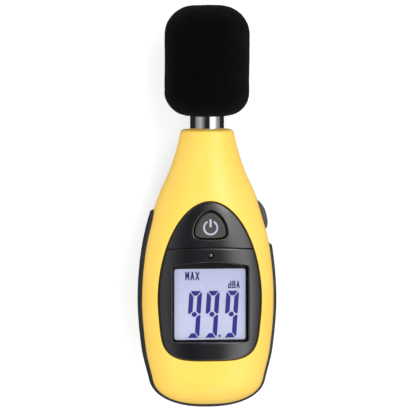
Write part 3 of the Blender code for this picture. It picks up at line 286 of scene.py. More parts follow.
def moulded(name, light, dark, roughness, grain, depth, patch=14.0, spread=0.05, **sockets):
    """A moulded or cast surface: colour and gloss drift in patches, and a fine grain stands up.
    Grain and patch sizes and the grain's depth are in millimetres."""
    made, tree, shader, place = new_material(name)
    drift = cloud(tree, place, patch)
    fine = cloud(tree, place, grain, 4.0)
    gloss = node(tree, "Math", {"operation": "ADD"}, {0: drift, 1: fine}).outputs["Value"]
    rough = between(tree, gloss, roughness - spread, roughness + spread, 0.8, 1.2)
    dress(tree, shader, blended(tree, drift, light, dark), rough, fine, depth, **sockets)
    return made


# ABS from a satin-polished mould: an even, slightly soft sheen with a faint orange-peel drift.
YELLOW_ABS = moulded("yellow_abs", "F8D060", "F6CA52", 0.36, 1.1, 0.006, 24.0, 0.04)
# ABS from a spark-eroded mould: a fine matt grain that greys the charcoal.
CHARCOAL_ABS = moulded("charcoal_abs", "303036", "28282D", 0.46, 0.7, 0.022, 16.0, 0.06)
# The bezel is moulded smoother than the rear shell, so that soft lights draw long streaks on it.
BEZEL_ABS = moulded(
    "bezel_abs", "121217", "0F0F13", 0.25, 1.2, 0.001, 20.0, 0.02, Specular_IOR_Level=0.9
)
# Overmoulded thermoplastic elastomer: duller than the shells and a little blue.
GRIP_ELASTOMER = moulded("grip_elastomer", "2C2C34", "25252B", 0.6, 0.6, 0.03, 12.0, 0.07)
# Silicone keypad rubber with a soft-touch coat: warm dark grey and dull.
KEY_SILICONE = moulded("key_silicone", "3F3B3A", "383433", 0.55, 0.6, 0.012, 9.0, 0.06)
SIDE_KEY_SILICONE = moulded("side_key_silicone", "46464C", "3E3E43", 0.42, 0.6, 0.012, 9.0, 0.06)
# Screen-printed ink on the key: flat and light, with the pinholes of the mesh.
KEY_INK = moulded("key_ink", "AEB8C6", "A0AAB9", 0.5, 0.4, 0.01, 5.0, 0.05)
# Black ink printed on the underside of the lens.
MASK_INK = moulded("mask_ink", "060608", "040405", 0.35, 0.6, 0.002, 12.0, 0.04)
WHITE_PLASTIC = moulded("white_nylon", "E4E3DC", "D9D8D0", 0.5, 0.8, 0.012, 9.0, 0.05)
CHIP_EPOXY = moulded("chip_epoxy", "1C1C1E", "151517", 0.5, 0.5, 0.014, 6.0, 0.06)
ZEBRA_RUBBER = moulded("zebra_rubber", "C9C5C0", "BDB8B2", 0.7, 0.6, 0.01, 6.0, 0.05)
BLUE_SLEEVE = moulded("capacitor_sleeve", "22345A", "1B2A49", 0.35, 0.7, 0.006, 7.0, 0.05)
TRIMMER_BLUE = moulded("trimmer_blue", "2F64B2", "2756A0", 0.4, 0.6, 0.008, 5.0, 0.05)
RED_WIRE = moulded("red_pvc", "B8241F", "A51C19", 0.42, 0.8, 0.008, 5.0, 0.05)
BLACK_WIRE = moulded("black_pvc", "171718", "111112", 0.42, 0.8, 0.008, 5.0, 0.05)
GREY_WIRE = moulded("grey_pvc", "727478", "66686C", 0.45, 0.8, 0.008, 5.0, 0.05)
PAD_FOAM = moulded("pad_foam", "58585D", "46464A", 0.92, 0.9, 0.25, 4.0, 0.04)
BACKLIGHT = moulded("backlight_acrylic", "EAF0FF", "DDE6FA", 0.3, 1.2, 0.01, 10.0, 0.04)
# Tinted acrylic, polished: dark, with one small bright glint.
AMBER = moulded(
    "amber_acrylic", "3E271D", "2C1B15", 0.1, 1.0, 0.001, 2.0, 0.03, Coat_Weight=1.0, Coat_IOR=2.2
)


def metal(name, light, dark, roughness, stretch, grain, spread=0.05):
    """A metal whose fine marks run along one direction, as turning or drawing leaves them."""
    made, tree, shader, place = new_material(name)
    marks = cloud(tree, place, grain, 4.0, stretch)
    colour = blended(tree, cloud(tree, place, 12.0), light, dark)
    rough = between(tree, marks, roughness - spread, roughness + spread)
    dress(tree, shader, colour, rough, marks, 0.002, Metallic=1.0)
    return made


# Polished chrome plate on turned brass: turning marks run round the tube and hardly show.
CHROME = metal("chrome_plate", "D6D7DA", "CBCDD1", 0.09, (0.2, 1, 0.2), 0.8, 0.02)
# Zinc-plated steel screws: bright but hazy.
STEEL = metal("zinc_plated_steel", "A6A8AC", "94969B", 0.32, (1, 1, 1), 0.7)
# Turned brass, bare.
BRASS = metal("turned_brass", "CDAA58", "B8944A", 0.28, (0.2, 1, 0.2), 0.6)


def foam_material():
    """Open-cell polyurethane foam: near black, no gloss, with cells about half a millimetre wide
    drawn a little coarser so that they show."""
    made, tree, shader, place = new_material("open_cell_foam")
    cells = node(tree, "TexVoronoi", inputs={"Vector": place, "Scale": 1 / (0.9 * MM)})
    soft = cloud(tree, place, 0.7, 5.0)
    lumps = cloud(tree, place, 7.0, 3.0)
    both = node(tree, "Math", {"operation": "MULTIPLY"}, {0: cells.outputs["Distance"], 1: soft})
    colour = blended(tree, lumps, "040405", "020203")
    sheen = {"Sheen_Weight": 0.04, "Sheen_Roughness": 0.5, "Sheen_Tint": linear("9AA0B8")}
    rough, height = between(tree, soft, 0.9, 1.0), both.outputs["Value"]
    dress(tree, shader, colour, rough, height, 0.5, Specular_IOR_Level=0.08, **sheen)
    return made


def lens_material():
    """Clear polished acrylic: almost unseen, with a faint reflection."""
    made, tree, shader, place = new_material("clear_acrylic")
    drift = cloud(tree, place, 18.0)
    colour, rough = blended(tree, drift, "0B0C10", "08090C"), between(tree, drift, 0.03, 0.07)
    dress(tree, shader, colour, rough, Alpha=0.08, IOR=1.49)
    return made


def display_layer(name, at_foot, at_top, patch, haziness, roughness):
    """A layer of the display whose colour runs from its foot to its top under a slight haze."""
    made, tree, shader, place = new_material(name)
    along = node(tree, "SeparateXYZ", inputs={"Vector": place}).outputs["Y"]
    low, high = (FOOT_END + y * MM for y in (VIEW_LOW, VIEW_HIGH))
    rise = between(tree, along, 0.0, 1.0, low, high)
    haze = cloud(tree, place, patch)
    mixed = node(tree, "Math", {"operation": "MULTIPLY_ADD"}, {0: haze, 1: haziness, 2: rise})
    colour = blended(tree, mixed.outputs["Value"], at_foot, at_top, 0.1, 1.0)
    dress(tree, shader, colour, between(tree, haze, *roughness))
    return made


def board_material():
    """Glass-fibre board under green solder resist: the weave shows through faintly."""
    made, tree, shader, place = new_material("solder_resist")
    waves = []
    for direction in ("X", "Y"):
        settings = {"wave_type": "BANDS", "bands_direction": direction}
        inputs = {"Vector": place, "Scale": 1 / (3.0 * MM), "Distortion": 1.0}
        waves.append(node(tree, "TexWave", settings, inputs).outputs["Fac"])
    weave = node(tree, "Math", {"operation": "MULTIPLY"}, {0: waves[0], 1: waves[1]})
    weave = weave.outputs["Value"]
    colour = blended(tree, weave, "1B5E33", "25753F", 0.0, 1.0)
    dress(tree, shader, colour, between(tree, weave, 0.3, 0.42, 0.0, 1.0))
    return made


def jacket_material():
    """A battery's printed steel jacket: dark foil with a copper-coloured top band."""
    made, tree, shader, place = new_material("battery_jacket")
    low, high = corners("battery_9v")
    along = node(tree, "SeparateXYZ", inputs={"Vector": place}).outputs["Y"]
    start = FOOT_END + (low.y + (high.y - low.y) * 0.7) * MM
    rise = between(tree, along, 0.0, 1.0, start, start + 0.2 * MM)
    colour = blended(tree, rise, "2B2E33", "B0763E", 0.4, 0.6)
    marks = cloud(tree, place, 1.5, 4.0)
    dress(tree, shader, colour, between(tree, marks, 0.25, 0.38), Metallic=0.6)
    return made


FOAM = foam_material()
CLEAR = lens_material()
# The display's reflective film behind glass: pale lavender, a little lighter to its foot.
DISPLAY = display_layer("display_film", "CED2EE", "BFC3E2", 9.0, 0.25, (0.22, 0.32))
# Driven liquid-crystal segments: deep indigo, bluer to the display's foot.
SEGMENT = display_layer("display_segment", "25308F", "3B2A78", 4.0, 0.3, (0.3, 0.4))
SOLDER_RESIST = board_material()
JACKET = jacket_material()


# -------- stage, lights and camera


# A long light tent over the object, open along its ridge: degrees from straight up, towards the
# right, and how bright the cloth is there. The right cloth is the main light.
TENT = (
    (-95, 0.01),
    (-84, 0.13),
    (-48, 0.25),
    (-24, 0.06),
    (-13, 0.01),
    (11, 0.01),
    (20, 0.66),
    (40, 0.94),
    (54, 0.48),
    (64, 0.2),
    (88, 0.13),
    (96, 0.01),
)
TENT_STRENGTH = 2.6
TABLE_STRENGTH = 0.3
# Each lamp's name, place and size in metres, power, and whether polished pieces mirror it: a
# broad one over the tent fills the shadows, and a small one beyond the microphone lays a soft
# streak on the neck and the key panel.
LAMPS = (
    ("overhead", (-0.42, -0.12, 0.84), (0.9, 0.9), 6.2, False),
    ("crown", (0.26, 0.36, 0.75), (0.24, 0.36), 1.1, True),
)
FLOOR_DROP = 0.0003
# The camera leans a little to the left and towards the microphone, in degrees. Its target and
# the width that it takes in are in metres.
CAMERA_LENS = 300.0
CAMERA_LEFT, CAMERA_BEYOND = 4.7, 5.3
CAMERA_TARGET = (0.00025, -0.0005, MIDLINE_Z * MM)
CAMERA_FIELD = 0.2111


def into_mesh(name, bm):
    """A mesh of this name that takes over the shape."""
    mesh = bpy.data.meshes.new(name)
    bm.to_mesh(mesh)
    bm.free()
    return mesh


def linked(name, data):
    """A new object in the scene."""
    made = bpy.data.objects.new(name, data)
    bpy.context.scene.collection.objects.link(made)
    return made


def stage():
    """The floor, the light tent, the lamps and the camera."""
    bm = bmesh.new()
    bmesh.ops.create_grid(bm, x_segments=1, y_segments=1, size=3.0)
    bmesh.ops.translate(bm, vec=(0, 0, -FLOOR_DROP), verts=bm.verts[:])
    mesh = into_mesh("floor", bm)
    # The paper lies on a light table, which keeps the shadows pale.
    glow = {"Emission_Color": (1, 1, 1, 1), "Emission_Strength": TABLE_STRENGTH}
    mesh.materials.append(
        moulded("floor_paper", "FBFBFA", "F8F8F7", 0.75, 2.0, 0.02, 60.0, **glow)
    )
    floor = linked("floor", mesh)
    # Polished pieces mirror the dark ends of the tent in place of the floor.
    floor.visible_glossy = False

    world = bpy.data.worlds.new("light_tent")
    world.use_nodes = True
    tree = world.node_tree
    way = node(tree, "TexCoord").outputs["Generated"]
    parts = node(tree, "SeparateXYZ", inputs={"Vector": way}).outputs
    lean = node(tree, "Math", {"operation": "ARCTAN2"}, {0: parts["X"], 1: parts["Z"]})
    share = between(tree, lean.outputs["Value"], 0.0, 1.0, -math.pi, math.pi)
    ramp = node(tree, "ValToRGB", inputs={"Fac": share})
    stops = ramp.color_ramp.elements
    stops[0].position, stops[1].position = (180 + TENT[0][0]) / 360, (180 + TENT[-1][0]) / 360
    for degrees, _ in TENT[1:-1]:
        stops.new((180 + degrees) / 360)
    for stop, (_, bright) in zip(stops, TENT):
        stop.color = (bright, bright, bright, 1)
    background = tree.nodes["Background"]
    tree.links.new(ramp.outputs["Color"], background.inputs["Color"])
    background.inputs["Strength"].default_value = TENT_STRENGTH
    bpy.context.scene.world = world

    for name, place, size, watts, mirrored in LAMPS:
        lamp = bpy.data.lights.new(name, "AREA")
        lamp.shape = "RECTANGLE"
        lamp.size, lamp.size_y = size
        lamp.energy = watts
        stand = linked(name, lamp)
        stand.location = place
        stand.rotation_euler = Vector(place).to_track_quat("Z", "Y").to_euler()
        stand.visible_glossy = mirrored

    view = bpy.data.cameras.new("camera")
    view.lens = CAMERA_LENS
    view.sensor_width = 36.0
    view.clip_start, view.clip_end = 0.05, 20.0
    camera = linked("camera", view)
    left, beyond = (math.tan(math.radians(angle)) for angle in (CAMERA_LEFT, CAMERA_BEYOND))
    back = Vector((-left, beyond, 1.0)).normalized()
    camera.location = Vector(CAMERA_TARGET) + back * (CAMERA_FIELD * view.lens / view.sensor_width)
    up = (Vector((0, 1, 0)) - back * back.y).normalized()
    camera.rotation_euler = Matrix((up.cross(back), up, back)).transposed().to_euler()
    bpy.context.scene.camera = camera
    bpy.context.scene.view_settings.view_transform = "Standard"


stage()


# -------- building


def hang_in_place(name, bm, look, body, replaces=(), slot=None, crease=35.0):
    """A finished piece from a shape that is already in the frame, hung on its body."""
    mesh = into_mesh(name, bm)
    mesh.shade_smooth()
    mesh.set_sharp_from_angle(angle=math.radians(crease))
    mesh.materials.append(look)
    made = linked(name, mesh)
    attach(made, body)
    if replaces:
        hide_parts(*replaces)
    return made


def hang(name, bm, *finish, **more):
    """A finished piece from a shape in millimetres."""
    bmesh.ops.transform(bm, matrix=TO_FRAME, verts=bm.verts[:])
    return hang_in_place(name, bm, *finish, **more)


def cut(piece, cutter_bm):
    """The piece with a cutter's shape taken out of it for good."""
    bmesh.ops.recalc_face_normals(cutter_bm, faces=cutter_bm.faces[:])
    bmesh.ops.transform(cutter_bm, matrix=TO_FRAME, verts=cutter_bm.verts[:])
    cutter = linked("cutter", into_mesh("cutter", cutter_bm))
    step = piece.modifiers.new("cut", "BOOLEAN")
    step.operation = "DIFFERENCE"
    step.solver = "EXACT"
    step.object = cutter
    graph = bpy.context.evaluated_depsgraph_get()
    after = bpy.data.meshes.new_from_object(piece.evaluated_get(graph))
    piece.modifiers.remove(step)
    piece.data = after
    after.name = piece.name
    bpy.data.objects.remove(cutter)
    return piece


def woven(rows):
    """A surface through closed rows of points, each with as many points as the next. A last row
    that is the first again closes it into a ring, and a row of one repeated point closes an end.
    """
    bm = bmesh.new()
    across, along = len(rows[0]), len(rows) - 1
    bmesh.ops.create_grid(bm, x_segments=across, y_segments=along, size=0.5)
    for v in bm.verts:
        i, j = round((v.co.x + 0.5) * across), round((v.co.y + 0.5) * along)
        v.co = rows[j][i % across]
    bmesh.ops.remove_doubles(bm, verts=bm.verts[:], dist=0.0002)
    bmesh.ops.dissolve_degenerate(bm, edges=bm.edges[:], dist=0.0001)
    bmesh.ops.recalc_face_normals(bm, faces=bm.faces[:])
    return bm


def turned(profile, steps=96, centre=(0, 0, MIDLINE_Z), axis=(0, 1, 0)):
    """A profile of (radius, place along the axis) turned round an axis through the centre."""
    bm = bmesh.new()
    centre, axis = Vector(centre), Vector(axis)
    out = Vector((1, 0, 0))
    verts = [bm.verts.new(centre + out * r + axis * at) for r, at in profile]
    closed = profile[0][0] > 0 and profile[-1][0] > 0
    ends = list(zip(verts, verts[1:])) + ([(verts[-1], verts[0])] if closed else [])
    edges = [bm.edges.new(pair) for pair in ends]
    full = 2 * math.pi
    bmesh.ops.spin(
        bm, geom=verts + edges, cent=centre, axis=axis, angle=full, steps=steps, use_merge=True
    )
    bmesh.ops.remove_doubles(bm, verts=bm.verts[:], dist=0.0005)
    bmesh.ops.recalc_face_normals(bm, faces=bm.faces[:])
    return bm


def raise_face(bm, points, by):
    """A face through the points, raised by a vector. Gives the face and its far corners."""
    base = bm.faces.new([bm.verts.new(point) for point in points])
    raised = bmesh.ops.extrude_face_region(bm, geom=[base])["geom"]
    far = [v for v in raised if isinstance(v, bmesh.types.BMVert)]
    bmesh.ops.translate(bm, vec=by, verts=far)
    return base, far


def add_slab(bm, outline, low, high, edge=0.0):
    """An outline of (x, y) points raised from one height to another, its top and bottom edges
    rounded by edge."""
    base, top = raise_face(bm, [(x, y, low) for x, y in outline], (0, 0, high - low))
    if edge:
        rims = [e for v in top for e in v.link_edges if e.other_vert(v) in top]
        rims = list(dict.fromkeys([*rims, *base.edges]))
        bmesh.ops.bevel(
            bm, geom=rims, offset=edge, affect="EDGES", segments=2, profile=0.5, material=-1
        )
    bmesh.ops.recalc_face_normals(bm, faces=bm.faces[:])


def arc(start, end, steps):
    """Angles from start to end, in degrees given, in radians made."""
    return [math.radians(start + (end - start) * k / steps) for k in range(steps + 1)]


def rounded(points, radii):
    """An outline with an arc at each corner whose radius isn't 0."""
    made, steps = [], 8
    for i, corner in enumerate(points):
        if not radii[i]:
            made.append(tuple(corner))
            continue
        here = Vector(corner)
        back = (Vector(points[i - 1]) - here).normalized()
        on = (Vector(points[(i + 1) % len(points)]) - here).normalized()
        half = back.angle(on) / 2
        centre = here + (back + on).normalized() * radii[i] / math.sin(half)
        start = here + back * radii[i] / math.tan(half) - centre
        sweep = start.angle_signed(here + on * radii[i] / math.tan(half) - centre)
        for k in range(steps + 1):
            made.append(tuple(centre + Matrix.Rotation(-sweep * k / steps, 2) @ start))
    return made


def reaches(outline, centre, angles):
    """How far an outline is from a point inside it, in each direction."""
    start = np.array(outline, float) - np.array(centre, float)
    side = np.roll(start, -1, 0) - start
    ways = np.stack([np.cos(angles), np.sin(angles)])
    across = np.outer(side[:, 1], ways[0]) - np.outer(side[:, 0], ways[1])
    across[np.abs(across) < 1e-12] = 1e-12
    far = (start[:, 0] * side[:, 1] - start[:, 1] * side[:, 0])[:, None] / across
    along = (np.outer(start[:, 0], ways[1]) - np.outer(start[:, 1], ways[0])) / across
    inside = (along >= -1e-9) & (along <= 1 + 1e-9) & (far > 0)
    return np.where(inside, far, 0).max(0)


def all_round(step):
    """Directions all the way round, this many degrees apart."""
    return np.radians(np.arange(0, 360, step))


def signed_power(value, power):
    return math.copysign(abs(value) ** power, value)


def flat(z):
    """The same height over every point."""
    return lambda x, y: z


# -------- the case's form


def hermite(start, end, leave, arrive, t):
    """A value on the smooth curve between two ends with these slopes."""
    return (
        start * (2 * t**3 - 3 * t**2 + 1)
        + leave * (t**3 - 2 * t**2 + t)
        + end * (3 * t**2 - 2 * t**3)
        + arrive * (t**3 - t**2)
    )


def shape_share(column, y):
    """One of the case's shares at a distance from the foot, on a smooth curve through the rows."""
    rows = CASE_SHAPE
    share = min(max((y - FOOT) / (NECK_END - FOOT), 0), 1)
    i = max(k for k in range(len(rows) - 1) if rows[k][0] <= share)
    here, after = rows[i], rows[i + 1]
    span = after[0] - here[0]

    def slope(k):
        a, b = rows[max(k - 1, 0)], rows[min(k + 1, len(rows) - 1)]
        return (b[column] - a[column]) / (b[0] - a[0]) * span

    return hermite(here[column], after[column], slope(i), slope(i + 1), (share - here[0]) / span)


def foot_rounding(y, reach, power):
    """The share of its full size that the form has near the foot's end."""
    t = min(max((y - FOOT) / reach, 0), 1)
    return (1 - (1 - t) ** power) ** (1 / power)


def neck_rounding(y):
    """How far the form has drawn in at the rounded edge of the neck's end."""
    t = min(max((y - NECK_END + NECK_EDGE) / NECK_EDGE, 0), 1)
    return NECK_EDGE * (1 - math.sqrt(1 - t**2))


def half_width(y):
    foot = foot_rounding(y, *FOOT_ROUND_WIDE)
    return CASE_HALF_WIDTH * shape_share(HALF_WIDTHS, y) * foot - neck_rounding(y)


def front_height(y):
    foot = foot_rounding(y, *FOOT_ROUND_DEEP)
    return FRONT_HEIGHT * shape_share(HEIGHTS, y) * foot - neck_rounding(y)


def section_power(y):
    """How square the section is: 2 is an ellipse."""
    start, end = (FOOT + (NECK_END - FOOT) * share for share in NECK_TURN)
    t = min(max((y - start) / (end - start), 0), 1)
    return BODY_POWER + (NECK_POWER - BODY_POWER) * t * t * (3 - 2 * t)


def front_z(x, y, swell=0.0):
    """Height of the front's surface over a point, for a form swollen by a distance."""
    wide, high = max(half_width(y) + swell, 0.01), max(front_height(y) + swell, 0.01)
    power = section_power(y)
    return MIDLINE_Z + high * max(1 - abs(x / wide) ** power, 0) ** (1 / power)


def up_from_foot(steps):
    """Places along the foot's bend, closest together at its end."""
    return [FOOT + FOOT_BEND * (1 - math.cos(a)) for a in arc(0, 90, steps)]


def plan_outline():
    """The case's outline at the plane between the shells."""
    places = up_from_foot(40)
    start, length = places[-1], NECK_END - NECK_EDGE - places[-1]
    places += [start + length * k / 120 for k in range(1, 121)]
    places += [NECK_END - NECK_EDGE * (1 - math.sin(a)) for a in arc(0, 90, 10)[1:]]
    right = [(half_width(y), y) for y in places]
    return right + [(-x, y) for x, y in reversed(right[1:])]


def oval(count, middle, half_width, top, foot, slope=0.0):
    """An outline of two half ovals that meet at the middle. Top and foot are each a reach and a
    squareness, and slope draws in the foot's sides."""
    points = []
    for k in range(count):
        angle = 2 * math.pi * k / count
        c, s = math.cos(angle), math.sin(angle)
        reach, squareness = top if s >= 0 else foot
        along = abs(s) ** (2 / squareness)
        drawn_in = slope * math.sin(math.pi * along) ** 2 if s < 0 else 0
        x = (half_width - drawn_in) * signed_power(c, 2 / squareness)
        points.append((x, middle + reach * math.copysign(along, s)))
    return points


def egg(grow):
    """The bezel's outline, grown outwards."""
    top, foot = (EGG_TOP + grow, EGG_TOP_POWER), (EGG_FOOT + grow, EGG_FOOT_POWER)
    return oval(192, EGG_MIDDLE, EGG_HALF_WIDTH + grow, top, foot, EGG_FOOT_SLOPE * EGG_HALF_WIDTH)


def window(grow):
    """The opening over the display: a rectangle whose top edge is arched, grown outwards."""
    w, h = WINDOW_HALF + grow, WINDOW_HALF + grow
    low, high = WINDOW_MIDDLE - h, WINDOW_MIDDLE + h
    arch = [(w * t, high + WINDOW_ARCH * (1 - t * t)) for t in (1 - k / 8 for k in range(1, 16))]
    points = [(-w, low), (w, low), (w, high), *arch, (-w, high)]
    corner = WINDOW_CORNER + max(grow, 0)
    return rounded(points, [corner] * 3 + [0] * len(arch) + [corner])


def view_outline():
    """The clear part of the window over the display."""
    w, low, high = VIEW_HALF_WIDTH, VIEW_LOW, VIEW_HIGH
    return rounded([(-w, low), (w, low), (w, high), (-w, high)], [VIEW_CORNER] * 4)


def power_key_outline(grow):
    """A half ellipse on a shallow foot with rounded corners, grown outwards."""
    top = (POWER_KEY_TOP + grow, POWER_KEY_TOP_POWER)
    foot = (POWER_KEY_FOOT + grow, POWER_KEY_FOOT_POWER)
    return oval(144, POWER_KEY_MIDDLE, POWER_KEY_HALF_WIDTH + grow, top, foot)


def rows_round(centre, angles, reach, z):
    """A closed row of points at the reaches from the centre, each at its own height."""
    points = []
    for angle, far in zip(angles, reach):
        x, y = centre[0] + math.cos(angle) * far, centre[1] + math.sin(angle) * far
        points.append((x, y, z(x, y)))
    return points


# -------- front shell


def side_key_outline(grow):
    """The side key seen from its side, round its own middle, grown outwards."""
    long, high = (half + grow for half in SIDE_KEY_HALF)
    square = [(-long, -high), (long, -high), (long, high), (-long, high)]
    return rounded(square, [SIDE_KEY_ROUNDING + grow] * 4)


def side_key_hole():
    """A cutter along X in the shape of the side key with its clearance."""
    start, length = 20.0, 30.0
    outline = side_key_outline(SIDE_KEY_CLEARANCE)
    bm = bmesh.new()
    raise_face(bm, [(start, SIDE_KEY_Y + a, SIDE_KEY_Z + b) for a, b in outline], (length, 0, 0))
    return bm


def front_shell():
    """The yellow shell: from the lip round the bezel out over the body and the neck to the plane
    between the shells, then back along its inside."""
    centre, angles = SHELL_CENTRE, all_round(1.25)
    outer = reaches(plan_outline(), centre, angles)
    low = MIDLINE_Z + GAP / 2

    def over(x, y):
        return max(front_z(x, y), low)

    rows = []
    for grow, drop in SHELL_LIP:
        reach = reaches(egg(grow), centre, angles)
        rows.append(rows_round(centre, angles, reach, lambda x, y, drop=drop: over(x, y) - drop))
    start = reaches(egg(SHELL_LIP_WIDTH), centre, angles)
    # The rows crowd towards the case's edge, where the surface turns down.
    steps, crowding = 44, 2.6
    for k in range(steps + 1):
        share = 1 - (1 - k / steps) ** crowding
        rows.append(rows_round(centre, angles, start + (outer - start) * share, over))
    last = rows[-1]
    at_neck = [y > NECK_END - 0.01 for x, y, z in last]
    lips = [[] for _ in NECK_LIP]
    turn_in, bore_end = [], []
    for (x, y, z), neck in zip(last, at_neck):
        if neck:
            tilt = math.atan2(z - MIDLINE_Z, x)
            for row, (far, rise) in zip(lips, NECK_LIP):
                reach = NECK_BORE + (math.hypot(x, z - MIDLINE_Z) - NECK_BORE) * far
                row.append((reach * math.cos(tilt), y + rise, MIDLINE_Z + reach * math.sin(tilt)))
            x, z = NECK_BORE * math.cos(tilt), MIDLINE_Z + NECK_BORE * math.sin(tilt)
            turn_in.append((x, y + BORE_MOUTH_RISE, z))
            bore_end.append((x, y - NECK_BORE_DEPTH, z))
        else:
            for row in lips:
                row.append((x, y, z))
            inward = Vector((centre[0] - x, centre[1] - y, 0)).normalized()
            turn_in.append(tuple(Vector((x, y, low)) + inward * WALL * 0.7))
            bore_end.append(tuple(Vector((x, y, low)) + inward * WALL))
    rows += [*lips, turn_in, bore_end]
    inside = np.where(at_neck, outer - 6.0, outer - WALL * 1.6)
    lip = reaches(egg(GAP), centre, angles)
    for share in (1.0, 0.8, 0.55, 0.25, 0.1):
        reach = lip + (inside - lip) * share
        rows.append(
            rows_round(centre, angles, reach, lambda x, y: max(front_z(x, y, -WALL), low + 0.1))
        )
    rows.append(rows[0])
    shell = hang("front_shell", woven(rows), YELLOW_ABS, "case", ["front_case"], "yellow_shell")
    return cut(shell, side_key_hole())


front_shell()


# -------- display bezel


def step_line(x):
    """The arched line that parts the bezel's key panel from its display frame."""
    return STEP_Y - STEP_DROP * (x / EGG_HALF_WIDTH) ** 2


def bezel_half(upper):
    """All that lies on one side of the arched line, out to well past the case."""
    across = [FAR * (1 - k / 40) for k in range(81)]
    line = [(x, step_line(min(max(x, -EGG_HALF_WIDTH), EGG_HALF_WIDTH))) for x in across]
    end = STEP_Y + (2 * FAR if upper else -2 * FAR)
    return [*line, (-FAR, end), (FAR, end)]


# The bezel's rounded edges: distance in from the rim or out from the opening, and depth
RIM = ((0.0, 2.7), (0.0, 1.1), (0.05, 0.72), (0.16, 0.42), (0.34, 0.2), (0.6, 0.06), (0.95, 0.0))
OPENING_EDGE = ((0.45, 0.07), (0.2, 0.22), (0.05, 0.45), (0.0, 0.8))
OPENING_EDGE_WIDTH = 0.8
OPENING_FLOOR_WIDTH = 0.9


def bezel_panel(name, upper, centre, opening, floor):
    """One panel of the bezel: its outer rim, its dome, the rounded edge of its opening and the
    wall down to the opening's floor, then back underneath."""
    angles = all_round(0.75)
    outer = reaches(egg(0), centre, angles)
    outer = np.minimum(outer, reaches(bezel_half(upper), centre, angles))
    inner = reaches(opening, centre, angles)

    def over(drop):
        return lambda x, y: front_z(x, y, BEZEL_PROUD) - drop

    rows = [rows_round(centre, angles, outer - inset, over(drop)) for inset, drop in RIM]
    start, end = outer - RIM[-1][0], inner + OPENING_EDGE_WIDTH
    steps = 20
    for k in range(1, steps + 1):
        rows.append(rows_round(centre, angles, start + (end - start) * k / steps, over(0)))
    for out, drop in OPENING_EDGE:
        rows.append(rows_round(centre, angles, inner + out, over(drop)))
    ledge = inner + OPENING_FLOOR_WIDTH
    rows += [rows_round(centre, angles, reach, flat(floor)) for reach in (inner, ledge)]
    under = over(BEZEL_DEPTH - BEZEL_PROUD)
    rows += [rows_round(centre, angles, ledge + (outer - ledge) * k, under) for k in (0.1, 0.5)]
    rows.append(rows[0])
    return hang(name, woven(rows), BEZEL_ABS, "case", ["display_bezel"], "dark_shell", 40.0)


def bezel():
    """The two panels, and the light pipe's end in a dimple between them."""
    lens_top = corners("display_window")[1].z
    frame_panel = bezel_panel("display_frame", False, WINDOW_CENTRE, window(0), lens_top + 0.1)
    low, high = corners("light_pipe")
    middle = (low + high) / 2
    top = front_z(middle.x, middle.y, BEZEL_PROUD)
    hole, (narrow, wide) = bmesh.new(), PIPE_HOLE
    there = Matrix.Translation((middle.x, middle.y, top))
    bmesh.ops.create_cone(
        hole, cap_ends=True, segments=48, radius1=narrow, radius2=wide, depth=3.0, matrix=there
    )
    cut(frame_panel, hole)
    key_opening = power_key_outline(KEY_CLEARANCE)
    bezel_panel("key_panel", True, KEY_PANEL_CENTRE, key_opening, KEY_PANEL_FLOOR)
    # The light pipe's end: a small amber dome sunk in the bezel's dimple.
    crown, rise = top - PIPE_SUNK, 0.9
    profile = [(0, crown)]
    profile += [
        (PIPE_RADIUS * math.sin(a), crown - rise * (1 - math.cos(a))) for a in arc(0, 80, 8)[1:]
    ]
    profile += [(PIPE_RADIUS, low.z), (0, low.z)]
    pipe = turned(profile, 48, (middle.x, middle.y, 0), (0, 0, 1))
    hang("light_pipe_end", pipe, AMBER, "case", ["light_pipe"], "amber_lens")


bezel()


# -------- window and display


def seven_segment(left, top, parts):
    """Outlines of the lit parts of one leaning seven-segment digit."""
    wide, high = DIGIT_WIDTH, DIGIT_HEIGHT
    half = high / 2
    middle, under = wide / 2, high - DIGIT_BAR - 0.05
    level = [(0.7, high), (wide - 0.7, high), (middle + 0.95, under), (middle - 0.95, under)]
    upright = [(0, high - 1.35), (0.5, high - 0.6), (DIGIT_BAR, high - 2.95)]
    upright += [(DIGIT_BAR, half + 1.55), (0.95, half + 0.3), (0.25, half + 0.35), (0, half + 0.8)]
    dash = [
        (middle + a, half + b)
        for a, b in ((-1.5, 0), (-0.65, 1.2), (0.65, 1.2), (1.5, 0), (0.65, -1.2), (-0.65, -1.2))
    ]

    def across(points):
        return [(wide - x, y) for x, y in points]

    def down(points):
        return [(x, high - y) for x, y in points]

    shapes = {
        "top": level,
        "upper_left": upright,
        "upper_right": across(upright),
        "middle": dash,
        "lower_right": across(down(upright)),
        "lower_left": down(upright),
        "foot": down(level),
    }
    return [
        [(left + x + (y - high) * DIGIT_LEAN, top - high + y) for x, y in shapes[part]]
        for part in parts
    ]


NINE = ("top", "upper_left", "upper_right", "middle", "lower_right", "foot")

# Strokes of the display's letters, as paths in shares of a letter's width and height
LETTERS = {
    "M": (((0, 0), (0, 1), (0.5, 0.35), (1, 1), (1, 0)),),
    "A": (((0, 0), (0.5, 1), (1, 0)), ((0.2, 0.33), (0.8, 0.33))),
    "X": (((0, 0), (1, 1)), ((0, 1), (1, 0))),
    "d": (((1, 0), (1, 1)), ((1, 0.55), (0, 0.55), (0, 0), (1, 0))),
    "B": (((0, 0), (0, 1), (0.9, 1), (0.9, 0.52)), ((0, 0.52), (1, 0.52), (1, 0), (0, 0))),
}


